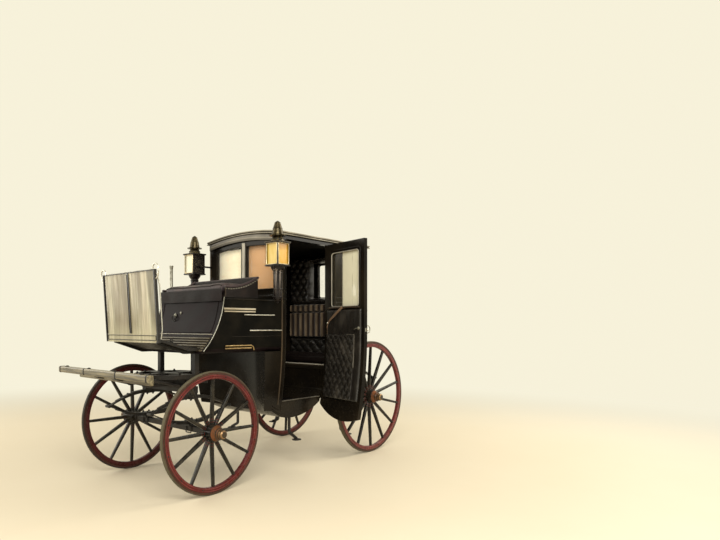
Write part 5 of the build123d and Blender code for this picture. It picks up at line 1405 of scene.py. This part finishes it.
# Collars on the axles, and ribs on the step plates
for end, body, x, station, z in (("front", "forecarriage", 0.5, 0.0, 0.5), ("rear", "coach", 0.52, WHEELBASE, 0.6)):
    collar = turned([(0.026, 0), (0.034, 0.002), (0.034, 0.012), (0.026, 0.014)], "X", 28)
    collars = spread(collar, [(side * x - 0.007, station, z) for side in (1, -1)])
    settle(gather(collars), f"{end}_axle_collars", iron_black, body)
both_sides(rods(*(([(x + offset, y + dy, z) for dy in (-0.034, 0.034)], 0.002, 1)
                  for x, y, z in ((0.482, 1.155, 0.2612), (0.558, 1.87, 0.2252))
                  for offset in (-0.024, -0.008, 0.008, 0.024))), "step_ribs", iron_black)

# Scene: floor, light and camera
floor = started("plane", size=60, location=(0, 0, 0))
floor.name = "floor"
ground = Finish("ground", Roughness=0.55)
ground.set(Base_Color=ground.mix(ground.noise(1.2, 4.0) * 0.5, rgb(0.8, 0.7, 0.52), rgb(0.86, 0.78, 0.62)))
reach = (ground.x * ground.x + ground.y * ground.y) ** 0.5
floor.data.materials.append(ground.material)
FAR_COLOUR, FAR_GLOW = rgb(0.98, 0.93, 0.74), 0.95


def shown_as_drawn(tree):
    """1 for the rays that show a backdrop's own colour: straight, mirrored or through glass."""
    path = tree.nodes.new("ShaderNodeLightPath")
    shown = path.outputs["Is Camera Ray"]
    for ray in ("Is Glossy Ray", "Is Transmission Ray"):
        either = tree.nodes.new("ShaderNodeMath")
        either.operation = "MAXIMUM"
        tree.links.new(shown, either.inputs[0])
        tree.links.new(path.outputs[ray], either.inputs[1])
        shown = either.outputs[0]
    return shown


def fade_to_far(tree, factor, near, kind, end):
    """Mix a surface into the far colour and link it to its output node."""
    far = tree.nodes.new(kind)
    far.inputs["Color"].default_value = FAR_COLOUR
    far.inputs["Strength"].default_value = FAR_GLOW
    blend = tree.nodes.new("ShaderNodeMixShader")
    for index, socket in enumerate((factor, near, far.outputs[0])):
        tree.links.new(socket, blend.inputs[index])
    tree.links.new(blend.outputs[0], tree.nodes[end].inputs["Surface"])


floor_fade = Value(ground, shown_as_drawn(ground.tree)) * reach.ramp(3.2, 9.0)
fade_to_far(ground.tree, floor_fade.socket, ground.shader.outputs[0], "ShaderNodeEmission", "Material Output")

for name, where, power, size, colour in (("key", (5.0, -3.0, 5.0), 420, 4.0, (1.0, 0.97, 0.9)),
                                         ("fill", (-5.0, -3.5, 3.5), 220, 5.0, (1.0, 0.96, 0.88)),
                                         ("rim", (3.5, 6.0, 4.5), 260, 4.0, (1.0, 0.95, 0.85))):
    light = bpy.data.lights.new(name, "AREA")
    light.energy, light.size, light.color = power, size, colour
    holder = bpy.data.objects.new(name, light)
    holder.location = Vector(where) + KINGPIN
    aim = Vector((0, 1, 1.2 if name == "rim" else 1)) + KINGPIN
    holder.rotation_euler = (aim - holder.location).to_track_quat("-Z", "Y").to_euler()
    bpy.context.collection.objects.link(holder)

world = bpy.data.worlds.new("room")
bpy.context.scene.world = world
world.use_nodes = True
room_light = world.node_tree.nodes["Background"]
room_light.inputs["Color"].default_value = rgb(0.95, 0.88, 0.7)
room_light.inputs["Strength"].default_value = 0.45
fade_to_far(world.node_tree, shown_as_drawn(world.node_tree), room_light.outputs[0], "ShaderNodeBackground",
            "World Output")

# The camera: its focal length and the centre of its view are in pixels of a picture 720 wide and 540 high
VIEW_TURN, WIDE, HIGH, FILM = math.radians(43.75), 720, 540, 36
FOCAL, CENTRE_X, CENTRE_Y = 556, 283.5, 326.2
camera_data = bpy.data.cameras.new("camera")
camera_data.sensor_width = FILM
camera_data.lens = FOCAL / WIDE * FILM
camera_data.shift_x = (WIDE / 2 - CENTRE_X) / WIDE
camera_data.shift_y = (CENTRE_Y - HIGH / 2) / WIDE
camera = bpy.data.objects.new("camera", camera_data)
camera.location = Vector((4.1491, -2.8612, 1.3632)) + KINGPIN
camera.rotation_euler = (math.pi / 2, 0, VIEW_TURN)
bpy.context.collection.objects.link(camera)
bpy.context.scene.camera = camera
bpy.context.scene.view_settings.view_transform = "Standard"
